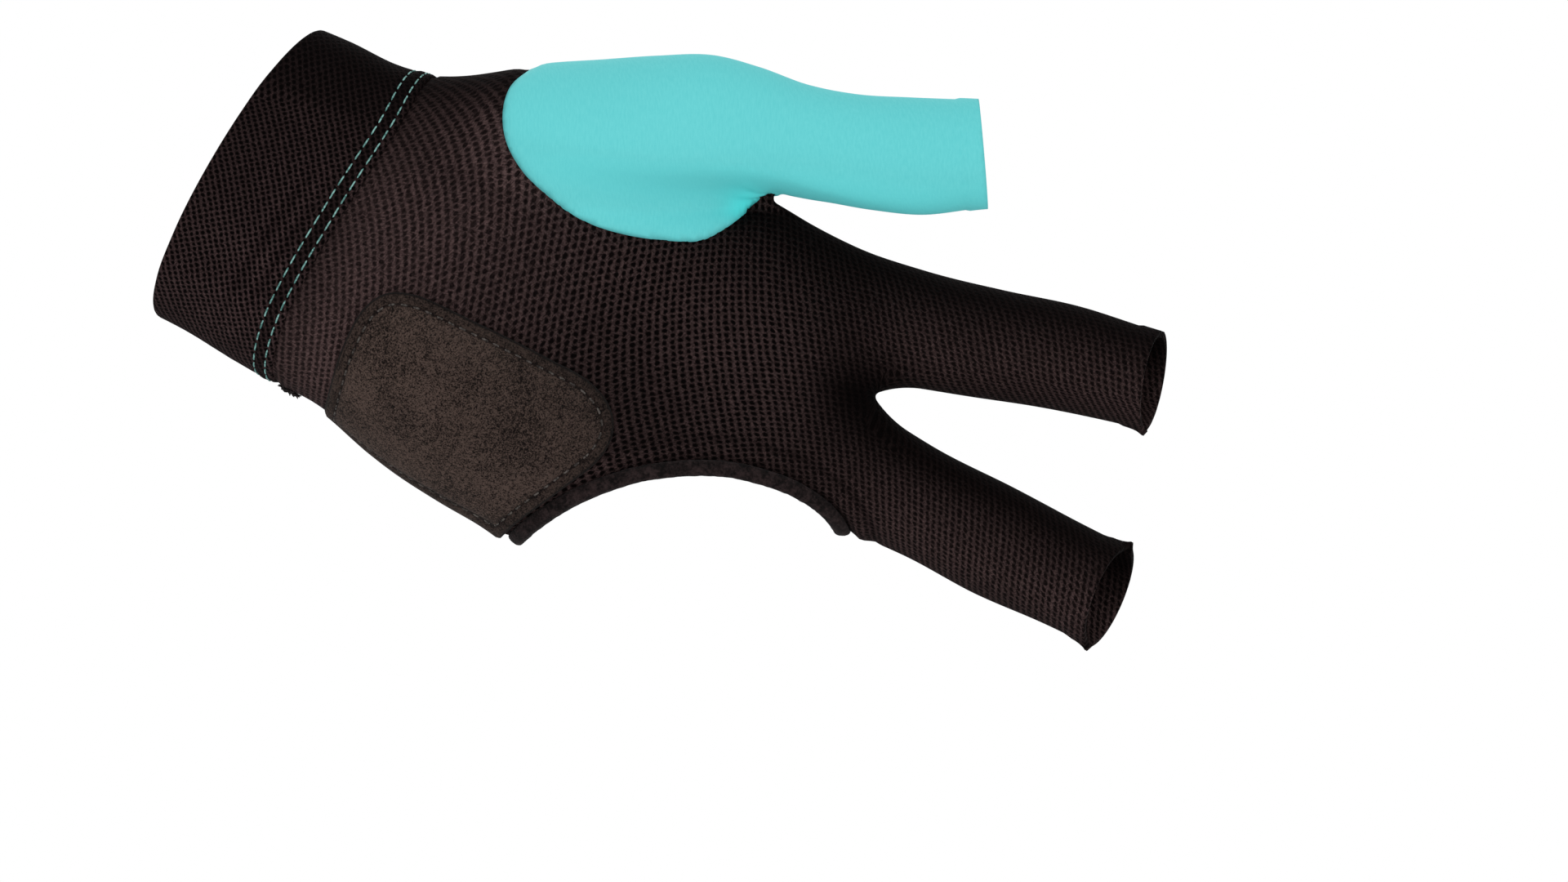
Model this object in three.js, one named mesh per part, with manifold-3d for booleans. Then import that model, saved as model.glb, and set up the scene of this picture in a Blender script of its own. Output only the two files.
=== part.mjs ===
import * as THREE from 'three';
import Module from 'manifold-3d';

// Billiard glove for the left hand, standing open in the shape of the hand that it is worn on.
// Millimetres. +X runs from the wrist to the fingertips, the palm faces -Y and the thumb is on the +Z side.
// The origin is the middle of the wrist opening.

// Cloth thicknesses and the small gaps between neighbouring pieces
const PANEL_WALL = 1.2;
const CUFF_WALL = 2.0;
const CUFF_RAISE = 0.3;
const GAP = 0.3;
const TAPE_GAP = 0.6;
const PATCH_THICKNESS = 1.3;
const TAPE_WIDTH = 3.2;
const TAPE_THICKNESS = 2.6;
const TAPE_SEAM_THICKNESS = 1.7;
const TAPE_THINS_OVER = 5;

// How softly neighbouring lobes of the hand run into each other (square millimetres of half depth)
const FINGER_BLEND = 60;
const THUMB_BLEND = 50;
const MIDDLE_BLEND = 160;

// The palm gives way to the two fingers between these stations
const FINGERS_START = 119;
const FINGERS_FULL = 142;

// The two faces of the hand
const PALM_SIDE = -1;
const BACK_SIDE = 1;

// How finely the cloth is worked out: cells across each strip of it, and stations along the hand, which stand
// closer around the webs between the fingers
const THUMB_CELLS = 7;
const INDEX_CELLS = 7;
const MIDDLE_CELLS = 10;
const STATION_STEP = 6.6;
const WEB_STEPS = [0, 0.4, 1.4, 3.6, 7.5];
const LEAST_STEP = 2;
const FINE_STEPS = 72;
const TAPE_STEPS = 80;
const TAPE_AROUND = 8;
const DRAWING_STEP = 4;
const SEAM_DRAWING_STEP = 6;
const PATCH_DRAWING_STEP = 3;
const TAPE_DRAWING_STEP = 0.5;

// Tolerances: rounds of halving, reach of a slope measurement, depth squared that counts as the very edge
const HALVINGS = 50;
const SLOPE_REACH = 0.05;
const AT_EDGE = 1e-6;
const POINTS_PER_MM = 2000;

// Lobes of the hand in the glove. x: station along the hand. low, high: its edges seen from the palm.
// half: half its depth. mid: height of its middle plane. full: 2 is an ellipse, more is boxier.
const PALM = [
  { x: -16, low: -31.5, high: 31.0, half: 20.5, mid: 0.0, full: 2.1 },
  { x: 0, low: -33.2, high: 31.2, half: 20.5, mid: 0.0, full: 2.1 },
  { x: 12, low: -35.6, high: 30.8, half: 20.0, mid: -0.4, full: 2.2 },
  { x: 22, low: -37.3, high: 29.7, half: 20.0, mid: -1.0, full: 2.3 },
  { x: 30, low: -38.4, high: 30.3, half: 20.2, mid: -1.5, full: 2.4 },
  { x: 40, low: -41.4, high: 32.5, half: 20.0, mid: -2.2, full: 2.5 },
  { x: 50, low: -44.6, high: 34.0, half: 19.2, mid: -2.6, full: 2.6 },
  { x: 60, low: -46.9, high: 35.0, half: 18.0, mid: -2.6, full: 2.7 },
  { x: 70, low: -48.8, high: 35.0, half: 16.8, mid: -2.0, full: 2.8 },
  { x: 80, low: -51.9, high: 34.0, half: 15.8, mid: -1.2, full: 2.9 },
  { x: 90, low: -55.0, high: 32.6, half: 15.0, mid: -0.4, full: 3.0 },
  { x: 100, low: -58.2, high: 30.6, half: 14.6, mid: 0.2, full: 3.0 },
  { x: 110, low: -61.5, high: 28.5, half: 14.4, mid: 0.6, full: 3.0 },
  { x: 120, low: -64.0, high: 27.3, half: 13.9, mid: 0.8, full: 2.8 },
  { x: 130, low: -65.0, high: 27.0, half: 13.0, mid: 0.8, full: 2.6 },
  { x: 142, low: -65.0, high: 28.2, half: 12.2, mid: 0.6, full: 2.4 },
];
const THUMB = [
  { x: 20, low: 2.0, high: 24.0, half: 8.0, mid: -4.0, full: 2.0 },
  { x: 40, low: 4.0, high: 34.6, half: 14.0, mid: -6.0, full: 2.0 },
  { x: 50, low: 6.0, high: 40.0, half: 15.6, mid: -7.5, full: 2.0 },
  { x: 60, low: 9.0, high: 44.4, half: 16.0, mid: -8.8, full: 2.0 },
  { x: 70, low: 13.5, high: 48.8, half: 15.6, mid: -10.0, full: 2.0 },
  { x: 80, low: 19.0, high: 52.6, half: 14.6, mid: -11.0, full: 2.1 },
  { x: 90, low: 25.2, high: 53.6, half: 13.0, mid: -11.8, full: 2.1 },
  { x: 100, low: 30.8, high: 53.6, half: 11.8, mid: -12.2, full: 2.1 },
  { x: 110, low: 33.2, high: 55.2, half: 11.2, mid: -12.4, full: 2.0 },
  { x: 120, low: 35.0, high: 58.2, half: 11.2, mid: -12.4, full: 2.0 },
  { x: 130, low: 37.6, high: 61.4, half: 11.4, mid: -12.0, full: 2.0 },
  { x: 140, low: 42.6, high: 64.6, half: 11.2, mid: -11.5, full: 2.0 },
  { x: 152, low: 48.0, high: 70.0, half: 11.0, mid: -11.0, full: 2.0 },
];
const INDEX = [
  { x: 116, low: 0.5, high: 27.5, half: 12.6, mid: 0.8, full: 2.1 },
  { x: 135, low: 4.0, high: 27.6, half: 11.6, mid: 0.8, full: 2.1 },
  { x: 150, low: 6.8, high: 29.2, half: 10.9, mid: 0.2, full: 2.1 },
  { x: 165, low: 9.8, high: 31.3, half: 10.4, mid: -0.8, full: 2.1 },
  { x: 180, low: 12.0, high: 31.9, half: 10.0, mid: -2.4, full: 2.0 },
  { x: 200, low: 14.4, high: 33.2, half: 9.6, mid: -5.0, full: 2.0 },
];
const MIDDLE = [
  { x: 116, low: -26.0, high: 1.0, half: 12.8, mid: 0.8, full: 2.1 },
  { x: 135, low: -26.2, high: -2.0, half: 12.2, mid: 0.8, full: 2.1 },
  { x: 150, low: -27.0, high: -5.0, half: 11.4, mid: 0.2, full: 2.1 },
  { x: 165, low: -29.2, high: -6.7, half: 11.0, mid: -0.8, full: 2.1 },
  { x: 180, low: -30.1, high: -8.8, half: 10.7, mid: -2.4, full: 2.0 },
  { x: 206, low: -32.6, high: -12.0, half: 10.2, mid: -5.8, full: 2.0 },
];

// Swellings and hollows of the two faces. side: -1 palm, 1 back. rise: height over the plain lobe.
const RELIEF = [
  { name: 'ball of the thumb', side: -1, x: 66, z: 25, reachX: 20, reachZ: 12, rise: 2.0 },
  { name: 'heel of the hand', side: -1, x: 50, z: -30, reachX: 25, reachZ: 13, rise: 3.4 },
  { name: 'hollow of the palm', side: -1, x: 93, z: -5, reachX: 24, reachZ: 16, rise: -3.8 },
  { name: 'pads under the fingers', side: -1, x: 122, z: 2, reachX: 9, reachZ: 26, rise: 1.4 },
  { name: 'crease beside the web', side: -1, x: 96, z: 28, reachX: 5, reachZ: 3.5, rise: -1.6 },
  { name: 'index knuckle', side: 1, x: 121, z: 14, reachX: 9, reachZ: 8, rise: 1.6 },
  { name: 'middle knuckle', side: 1, x: 122, z: -12, reachX: 9, reachZ: 8, rise: 1.6 },
  { name: 'cuff fold by the little finger', side: -1, x: 6, z: -24, reachX: 12, reachZ: 2.6, rise: 0.9 },
  { name: 'cuff dip beside it', side: -1, x: 6, z: -17.5, reachX: 12, reachZ: 3.0, rise: -0.7 },
  { name: 'cuff fold by the thumb', side: -1, x: 8, z: 17, reachX: 12, reachZ: 3.4, rise: 0.6 },
];
const RELIEF_FADE = 6;

// Middle lines along which the strips of cloth meet: from the wrist to the two webs
const WRIST_STATION = -16;
const THUMB_LINE_START = 12;
const FINGER_LINE_START = -3;

// Heights that are surely within each lobe: the thumb's own centre is used beyond the ball of the thumb
const THUMB_BALL = { until: 60, z: 25 };
const WITHIN_INDEX = 18;
const WITHIN_MIDDLE = -18;

// Lines on the glove seen from the palm (x, z), each drawn through a few points
const CUFF_SEAM_LEAN = 0.2;
const CUFF_SEAM = [
  { x: 21.5, z: -90 }, { x: 21.6, z: -37 }, { x: 23.3, z: -22 }, { x: 27.6, z: 0 },
  { x: 30.8, z: 18 }, { x: 30.8, z: 30 }, { x: 30.8, z: 90 },
];
const LOBE_SEAM = [
  { x: 56.0, z: 56.0 }, { x: 50.5, z: 43.5 }, { x: 47.2, z: 38.4 }, { x: 44.9, z: 33.8 },
  { x: 45.3, z: 28.2 }, { x: 48.0, z: 22.8 }, { x: 53.0, z: 18.4 }, { x: 60.0, z: 15.3 },
  { x: 68.0, z: 13.4 }, { x: 76.0, z: 13.6 }, { x: 84.5, z: 15.4 }, { x: 90.8, z: 17.8 },
  { x: 94.6, z: 22.0 }, { x: 97.6, z: 27.0 }, { x: 100.6, z: 30.8 }, { x: 105.0, z: 31.0 },
  { x: 112.0, z: 31.0 }, { x: 122.0, z: 31.5 }, { x: 136.0, z: 34.5 }, { x: 170.0, z: 38.0 },
];
const OPENING_EDGE = [
  { x: 74.0, z: -60.0 }, { x: 76.6, z: -53.5 }, { x: 79.8, z: -47.2 }, { x: 85.0, z: -40.2 },
  { x: 90.0, z: -35.4 }, { x: 95.0, z: -31.5 }, { x: 100.0, z: -28.6 }, { x: 106.0, z: -25.9 },
  { x: 112.0, z: -24.1 }, { x: 118.0, z: -23.4 }, { x: 124.0, z: -23.4 }, { x: 129.5, z: -24.6 },
  { x: 133.0, z: -26.2 }, { x: 136.0, z: -28.8 }, { x: 138.5, z: -33.0 },
];
const PATCH_EDGE = [
  { x: 33.4, z: -56.0 }, { x: 32.6, z: -38.0 }, { x: 32.2, z: -25.0 }, { x: 33.6, z: -17.0 },
  { x: 36.5, z: -13.2 }, { x: 41.5, z: -11.6 }, { x: 54.0, z: -12.5 }, { x: 69.5, z: -14.3 },
  { x: 79.5, z: -16.0 }, { x: 84.8, z: -19.2 }, { x: 87.2, z: -23.6 }, { x: 86.6, z: -29.2 },
  { x: 81.2, z: -38.0 }, { x: 75.4, z: -46.8 }, { x: 71.0, z: -56.0 },
];

// Slanted open ends, each the plane x = at + perZ * z + perY * y between two heights
const WRIST_EDGE = { at: 0.27, perZ: 0.176, perY: 0.25, from: -90, to: 90 };
const INDEX_END = { at: 188.4, perZ: -0.17, perY: 0.24, from: 2, to: 60 };
const MIDDLE_END = { at: 192.4, perZ: 0.05, perY: 0.32, from: -60, to: 0 };
const THUMB_END = { at: 161.6, perZ: -0.467, perY: 0.0, from: 36, to: 110 };

// Size of the cutting tools, which reach past the glove on every side
const FAR = 320;
const ABOVE = 110;
const BELOW = -90;
const TOOL_DEPTH = 160;

// Number work shared by every piece

function mix(a, b, share) {
  return a + (b - a) * share;
}

function ease(from, to, value) {
  const share = Math.min(1, Math.max(0, (value - from) / (to - from)));
  return share * share * (3 - 2 * share);
}

function softMax(a, b, reach) {
  const closeness = Math.max(reach - Math.abs(a - b), 0);
  return Math.max(a, b) + (closeness * closeness) / (4 * reach);
}

// A column of a table as a smooth curve over x
function slopeAt(rows, column, i) {
  const before = rows[Math.max(i - 1, 0)];
  const after = rows[Math.min(i + 1, rows.length - 1)];
  return (after[column] - before[column]) / (after.x - before.x);
}

function columnAt(rows, column, x) {
  const last = rows.length - 1;
  if (x <= rows[0].x) return rows[0][column];
  if (x >= rows[last].x) return rows[last][column];
  let i = 0;
  while (rows[i + 1].x < x) i += 1;
  const step = rows[i + 1].x - rows[i].x;
  const t = (x - rows[i].x) / step;
  const rise = rows[i + 1][column] - rows[i][column];
  const leave = slopeAt(rows, column, i) * step;
  const arrive = slopeAt(rows, column, i + 1) * step;
  const bend = 3 * rise - 2 * leave - arrive;
  const turn = leave + arrive - 2 * rise;
  return rows[i][column] + t * (leave + t * (bend + t * turn));
}

// Form of the hand: half depth squared over the palm plane, below zero outside the outline

function lobeDepth(rows, x, z) {
  const low = columnAt(rows, 'low', x);
  const high = columnAt(rows, 'high', x);
  const half = columnAt(rows, 'half', x);
  const offset = Math.abs((2 * z - low - high) / (high - low));
  return half * half * (1 - offset ** columnAt(rows, 'full', x));
}

function lobes(x, z) {
  const share = ease(FINGERS_START, FINGERS_FULL, x);
  const fingers = softMax(lobeDepth(INDEX, x, z), lobeDepth(MIDDLE, x, z), FINGER_BLEND);
  return { share, body: mix(lobeDepth(PALM, x, z), fingers, share), thumb: lobeDepth(THUMB, x, z) };
}

function depthSquared(x, z) {
  const { body, thumb } = lobes(x, z);
  return softMax(body, thumb, THUMB_BLEND);
}

function middlePlane(x, z) {
  const { share, body, thumb } = lobes(x, z);
  const level = mix(columnAt(PALM, 'mid', x), columnAt(INDEX, 'mid', x), share);
  return mix(level, columnAt(THUMB, 'mid', x), ease(-MIDDLE_BLEND, MIDDLE_BLEND, thumb - body));
}

function reliefAt(x, z, side) {
  let rise = 0;
  for (const spot of RELIEF) {
    if (spot.side !== side) continue;
    const away = ((x - spot.x) / spot.reachX) ** 2 + ((z - spot.z) / spot.reachZ) ** 2;
    rise += spot.rise * Math.exp(-away);
  }
  return rise;
}

function faceDepthSquared(x, z, side) {
  const squared = depthSquared(x, z);
  const rise = reliefAt(x, z, side);
  if (squared < RELIEF_FADE ** 2) return squared * (1 + rise / RELIEF_FADE) ** 2;
  return (Math.sqrt(squared) + rise) ** 2;
}

function surfaceY(x, z, side, least) {
  const depth = Math.sqrt(Math.max(faceDepthSquared(x, z, side), 0));
  return middlePlane(x, z) + side * Math.max(depth, least);
}

// Outward direction of the cloth, from how the form changes around the point
function outward(point, side) {
  const height = (x, y, z) => (y - middlePlane(x, z)) ** 2 - faceDepthSquared(x, z, side);
  const { x, y, z } = point;
  const h = SLOPE_REACH;
  return new THREE.Vector3(
    height(x + h, y, z) - height(x - h, y, z),
    height(x, y + h, z) - height(x, y - h, z),
    height(x, y, z + h) - height(x, y, z - h),
  ).normalize();
}

// Edges of the outline and the two webs

function edgeFrom(x, start, step) {
  let inside = start;
  while (depthSquared(x, inside + step) > 0) inside += step;
  let outside = inside + step;
  for (let i = 0; i < HALVINGS; i += 1) {
    const between = (inside + outside) / 2;
    if (depthSquared(x, between) > 0) inside = between;
    else outside = between;
  }
  return (inside + outside) / 2;
}

function narrowest(x, low, high) {
  let [a, b] = [low, high];
  for (let i = 0; i < HALVINGS; i += 1) {
    const third = (b - a) / 3;
    if (depthSquared(x, a + third) < depthSquared(x, b - third)) b -= third;
    else a += third;
  }
  return (a + b) / 2;
}

function findWeb(near, far, low, high) {
  let [closed, open] = [near, far];
  for (let i = 0; i < HALVINGS; i += 1) {
    const between = (closed + open) / 2;
    if (depthSquared(between, narrowest(between, low, high)) > 0) closed = between;
    else open = between;
  }
  return { x: closed, z: narrowest(closed, low, high) };
}

const THUMB_WEB = findWeb(92, 112, 25, 38);
const FINGER_WEB = findWeb(126, 148, -7, 10);

function lineZ(start, web, x) {
  return mix(start, web.z, (x - WRIST_STATION) / (web.x - WRIST_STATION));
}

function lobeCentre(rows, x) {
  return (columnAt(rows, 'low', x) + columnAt(rows, 'high', x)) / 2;
}

function thumbLine(x) {
  return lineZ(THUMB_LINE_START, THUMB_WEB, x);
}

function fingerLine(x) {
  return lineZ(FINGER_LINE_START, FINGER_WEB, x);
}

// Heights at which each strip of cloth starts and ends at a station
const STRIPS = {
  thumb: {
    cells: THUMB_CELLS,
    end: 150,
    top: (x) => edgeFrom(x, x < THUMB_BALL.until ? THUMB_BALL.z : lobeCentre(THUMB, x), 1),
    bottom: (x) => (x <= THUMB_WEB.x ? thumbLine(x) : edgeFrom(x, lobeCentre(THUMB, x), -1)),
  },
  index: {
    cells: INDEX_CELLS,
    end: 198,
    top: (x) => (x <= THUMB_WEB.x ? thumbLine(x) : edgeFrom(x, WITHIN_INDEX, 0.5)),
    bottom: (x) => (x <= FINGER_WEB.x ? fingerLine(x) : edgeFrom(x, WITHIN_INDEX, -0.5)),
  },
  middle: {
    cells: MIDDLE_CELLS,
    end: 204,
    top: (x) => (x <= FINGER_WEB.x ? fingerLine(x) : edgeFrom(x, WITHIN_MIDDLE, 0.5)),
    bottom: (x) => edgeFrom(x, WITHIN_MIDDLE, -1),
  },
};

// Stations along the hand: even steps, which give way to those counted from the webs
function stationsTo(end) {
  const webs = [THUMB_WEB.x, FINGER_WEB.x];
  const fromWebs = webs.flatMap((web) => WEB_STEPS.flatMap((step) => [web - step, web + step]));
  const reach = WEB_STEPS[WEB_STEPS.length - 1];
  const clear = (x) => webs.every((web) => Math.abs(x - web) > reach)
    && fromWebs.every((other) => Math.abs(x - other) >= LEAST_STEP);
  const even = [end];
  for (let x = WRIST_STATION; x < end; x += STATION_STEP) even.push(x);
  const stations = [...even.filter(clear), ...fromWebs.filter((x) => x <= end)];
  return [...new Set(stations)].sort((a, b) => a - b);
}

// One row of points across a strip, at equal steps along the cloth
function rowAcross(strip, x, side, least) {
  const [top, bottom] = [strip.top(x), strip.bottom(x)];
  const heights = [];
  const lengths = [0];
  for (let i = 0; i <= FINE_STEPS; i += 1) {
    heights.push(mix(top, bottom, (1 - Math.cos((Math.PI * i) / FINE_STEPS)) / 2));
    if (i === 0) continue;
    const before = new THREE.Vector2(surfaceY(x, heights[i - 1], side, 0), heights[i - 1]);
    const here = new THREE.Vector2(surfaceY(x, heights[i], side, 0), heights[i]);
    lengths.push(lengths[i - 1] + here.distanceTo(before));
  }
  const row = [];
  let k = 0;
  for (let i = 0; i <= strip.cells; i += 1) {
    const wanted = (lengths[FINE_STEPS] * i) / strip.cells;
    while (k < FINE_STEPS - 1 && lengths[k + 1] < wanted) k += 1;
    const share = (wanted - lengths[k]) / (lengths[k + 1] - lengths[k]);
    let z = mix(heights[k], heights[k + 1], share);
    if (i === 0) z = top;
    if (i === strip.cells) z = bottom;
    const atEdge = Math.abs(depthSquared(x, z)) < AT_EDGE;
    const y = atEdge ? middlePlane(x, z) + side * least : surfaceY(x, z, side, least);
    row.push(new THREE.Vector3(x, y, z));
  }
  return row;
}

function gridOf(strip, side, least) {
  return stationsTo(strip.end).map((x) => rowAcross(strip, x, side, least));
}

// Sheets of cloth: points with outward directions, and triangles that face outwards

class Sheet {
  constructor() {
    this.points = [];
    this.normals = [];
    this.triangles = [];
    this.known = new Map();
  }

  add(point, side) {
    const key = [point.x, point.y, point.z].map((value) => Math.round(value * POINTS_PER_MM)).join(',');
    if (!this.known.has(key)) {
      this.known.set(key, this.points.length);
      this.points.push(point);
      this.normals.push(outward(point, side));
    }
    return this.known.get(key);
  }

  triangle(a, b, c) {
    if (a !== b && b !== c && c !== a) this.triangles.push([a, b, c]);
  }

  quad(a, b, c, d) {
    const [p, q, r, s] = [a, b, c, d].map((i) => this.points[i]);
    if (p.distanceTo(r) <= q.distanceTo(s)) {
      this.triangle(a, b, c);
      this.triangle(a, c, d);
    } else {
      this.triangle(a, b, d);
      this.triangle(b, c, d);
    }
  }

  addGrid(grid, side) {
    const ids = grid.map((row) => row.map((point) => this.add(point, side)));
    for (let i = 0; i + 1 < ids.length; i += 1) {
      for (let j = 0; j + 1 < ids[i].length; j += 1) {
        const corners = [ids[i][j], ids[i][j + 1], ids[i + 1][j + 1], ids[i + 1][j]];
        if (side > 0) corners.reverse();
        this.quad(...corners);
      }
    }
  }
}

function clothSheet(sides, least) {
  const sheet = new Sheet();
  for (const side of sides) {
    for (const strip of Object.values(STRIPS)) sheet.addGrid(gridOf(strip, side, least), side);
  }
  return sheet;
}

// A sheet given thickness: outer and inner layer and the rims that join them
function thicken(sheet, out, inwards) {
  const count = sheet.points.length;
  const moved = (distance) => (p, i) => p.clone().addScaledVector(sheet.normals[i], distance);
  const layer = (distance) => sheet.points.map(moved(distance));
  const vertices = [...layer(out), ...layer(-inwards)];
  const faces = [];
  const edges = new Map();
  for (const [a, b, c] of sheet.triangles) {
    faces.push([a, b, c], [c + count, b + count, a + count]);
    for (const [from, to] of [[a, b], [b, c], [c, a]]) edges.set(`${from},${to}`, [from, to]);
  }
  for (const [from, to] of edges.values()) {
    if (edges.has(`${to},${from}`)) continue;
    faces.push([to, from, from + count], [to, from + count, to + count]);
  }
  return { vertices, faces };
}

// Joins and cuts

const wasm = await Module();
wasm.setup();

function solidOf({ vertices, faces }) {
  const vertProperties = new Float32Array(vertices.flatMap((p) => [p.x, p.y, p.z]));
  const triVerts = new Uint32Array(faces.flat());
  const mesh = new wasm.Mesh({ numProp: 3, vertProperties, triVerts });
  mesh.merge();
  return new wasm.Manifold(mesh);
}

// A smooth line through the points of a table, in steps of about the given length
function drawLine(rows, step) {
  const corners = rows.map((row) => new THREE.Vector3(row.x, 0, row.z));
  const curve = new THREE.CatmullRomCurve3(corners, false, 'centripetal');
  const pieces = Math.max(8, Math.round(curve.getLength() / step));
  return curve.getSpacedPoints(pieces).map((p) => ({ x: p.x, z: p.z }));
}

// The same line moved sideways, to the left of its running direction
function moveSideways(line, distance) {
  return line.map((point, i) => {
    const before = line[Math.max(i - 1, 0)];
    const after = line[Math.min(i + 1, line.length - 1)];
    const run = Math.hypot(after.x - before.x, after.z - before.z);
    return {
      x: point.x - ((after.z - before.z) / run) * distance,
      z: point.z + ((after.x - before.x) / run) * distance,
    };
  });
}

// A tool as deep as the glove over an outline in the palm plane, leaning along the hand with depth
function tool(outline, lean) {
  const shape = new THREE.Shape(outline.map((point) => new THREE.Vector2(point.x, point.z)));
  const body = new THREE.ExtrudeGeometry(shape, { depth: TOOL_DEPTH, bevelEnabled: false, steps: 1 });
  body.rotateX(Math.PI / 2);
  body.translate(0, TOOL_DEPTH / 2, 0);
  body.applyMatrix4(new THREE.Matrix4().set(1, lean, 0, 0, 0, 1, 0, 0, 0, 0, 1, 0, 0, 0, 0, 1));
  const spots = body.getAttribute('position');
  const vertices = [];
  const faces = [];
  for (let i = 0; i < spots.count; i += 1) {
    vertices.push(new THREE.Vector3().fromBufferAttribute(spots, i));
    if (i % 3 === 0) faces.push([i, i + 1, i + 2]);
  }
  return solidOf({ vertices, faces });
}

// Everything beyond a slanted open end
function beyond(end, towards) {
  const outline = [
    { x: end.at + end.perZ * end.from, z: end.from },
    { x: end.at + end.perZ * end.to, z: end.to },
    { x: towards * FAR, z: end.to },
    { x: towards * FAR, z: end.from },
  ];
  return tool(outline, end.perY);
}

// An outline closed outside the glove: from the end of a line straight to a height, and back to its start
function closeAt(line, rows, height) {
  return [...line, { x: rows[rows.length - 1].x, z: height }, { x: rows[0].x, z: height }];
}

function wristSideOfSeam(shift) {
  const line = drawLine(CUFF_SEAM, SEAM_DRAWING_STEP).map((point) => ({ x: point.x + shift, z: point.z }));
  const [low, high] = [line[0], line[line.length - 1]];
  return tool([...line, { x: -FAR, z: high.z }, { x: -FAR, z: low.z }], CUFF_SEAM_LEAN);
}

function thumbPlot(grow) {
  const line = moveSideways(drawLine(LOBE_SEAM, DRAWING_STEP), -grow);
  return tool(closeAt(line, LOBE_SEAM, ABOVE), 0);
}

function openingPlot(grow) {
  const line = moveSideways(drawLine(OPENING_EDGE, DRAWING_STEP), grow);
  return tool(closeAt(line, OPENING_EDGE, BELOW), 0);
}

function patchPlot() {
  return tool(drawLine(PATCH_EDGE, PATCH_DRAWING_STEP), 0);
}

// Pieces of the glove

const CLOTH_COLOURS = {
  mesh: 0x2c2324,
  cuff: 0x241c1c,
  stretch: 0x5fd0d2,
  suede: 0x3a302b,
  tape: 0x1d1716,
};

function panel(side) {
  let cloth = solidOf(thicken(clothSheet([side], GAP / 2), 0, PANEL_WALL));
  cloth = cloth.subtract(wristSideOfSeam(GAP));
  cloth = cloth.subtract(thumbPlot(GAP));
  cloth = cloth.subtract(openingPlot(TAPE_WIDTH + TAPE_GAP));
  cloth = cloth.subtract(beyond(INDEX_END, 1));
  return cloth.subtract(beyond(MIDDLE_END, 1));
}

function wholeHand(out, inwards) {
  return solidOf(thicken(clothSheet([PALM_SIDE, BACK_SIDE], 0), out, inwards));
}

function wristCuff() {
  const band = wholeHand(CUFF_RAISE, CUFF_WALL - CUFF_RAISE).intersect(wristSideOfSeam(0));
  return band.subtract(beyond(WRIST_EDGE, -1));
}

function thumbSleeve() {
  const cloth = wholeHand(0, PANEL_WALL).intersect(thumbPlot(0));
  return cloth.subtract(beyond(THUMB_END, 1));
}

function palmPatch() {
  const layer = solidOf(thicken(clothSheet([PALM_SIDE], GAP / 2), GAP + PATCH_THICKNESS, -GAP));
  return layer.intersect(patchPlot());
}

// Where the way from one point to another leaves the outline of the hand
function crossing(within, without) {
  let [a, b] = [within, without];
  for (let i = 0; i < HALVINGS; i += 1) {
    const between = { x: (a.x + b.x) / 2, z: (a.z + b.z) / 2 };
    if (depthSquared(between.x, between.z) > 0) a = between;
    else b = between;
  }
  return a;
}

function onFace({ x, z }, side) {
  return new THREE.Vector3(x, surfaceY(x, z, side, 0), z);
}

// The tape runs once round the opening: along the palm to the middle finger and home along the back
function tapePath() {
  const line = moveSideways(drawLine(OPENING_EDGE, TAPE_DRAWING_STEP), TAPE_WIDTH / 2);
  const inside = line.filter((point) => depthSquared(point.x, point.z) > 0);
  const first = line.indexOf(inside[0]);
  const last = line.indexOf(inside[inside.length - 1]);
  const over = [crossing(line[first], line[first - 1]), ...inside, crossing(line[last], line[last + 1])];
  const spots = [
    ...over.map((point) => onFace(point, PALM_SIDE)),
    ...over.slice(1, -1).reverse().map((point) => onFace(point, BACK_SIDE)),
  ];
  const loop = new THREE.CatmullRomCurve3(spots, true, 'centripetal');
  loop.arcLengthDivisions = 4 * spots.length;
  const path = [];
  for (let i = 0; i < TAPE_STEPS; i += 1) {
    const point = loop.getPointAt(i / TAPE_STEPS);
    const overMiddle = point.y - middlePlane(point.x, point.z);
    const side = overMiddle < 0 ? PALM_SIDE : BACK_SIDE;
    const thins = ease(0, TAPE_THINS_OVER, Math.abs(overMiddle));
    const thickness = mix(TAPE_SEAM_THICKNESS, TAPE_THICKNESS, thins);
    path.push({ point, along: loop.getTangentAt(i / TAPE_STEPS), out: outward(point, side), thickness });
  }
  return path;
}

function openingBinding() {
  const vertices = [];
  const halfWidth = TAPE_WIDTH / 2 / Math.cos(Math.PI / TAPE_AROUND);
  for (const { point, along, out, thickness } of tapePath()) {
    const across = new THREE.Vector3().crossVectors(out, along).normalize();
    const up = new THREE.Vector3().crossVectors(along, across).normalize();
    const centre = point.clone().addScaledVector(up, -PANEL_WALL / 2);
    for (let k = 0; k < TAPE_AROUND; k += 1) {
      const turn = (2 * Math.PI * (k + 0.5)) / TAPE_AROUND;
      const spot = centre.clone().addScaledVector(across, Math.cos(turn) * halfWidth);
      vertices.push(spot.addScaledVector(up, (Math.sin(turn) * thickness) / 2));
    }
  }
  const faces = [];
  for (let i = 0; i < TAPE_STEPS; i += 1) {
    const [here, next] = [i * TAPE_AROUND, ((i + 1) % TAPE_STEPS) * TAPE_AROUND];
    for (let k = 0; k < TAPE_AROUND; k += 1) {
      const after = (k + 1) % TAPE_AROUND;
      faces.push([here + k, here + after, next + after], [here + k, next + after, next + k]);
    }
  }
  return solidOf({ vertices, faces });
}

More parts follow.
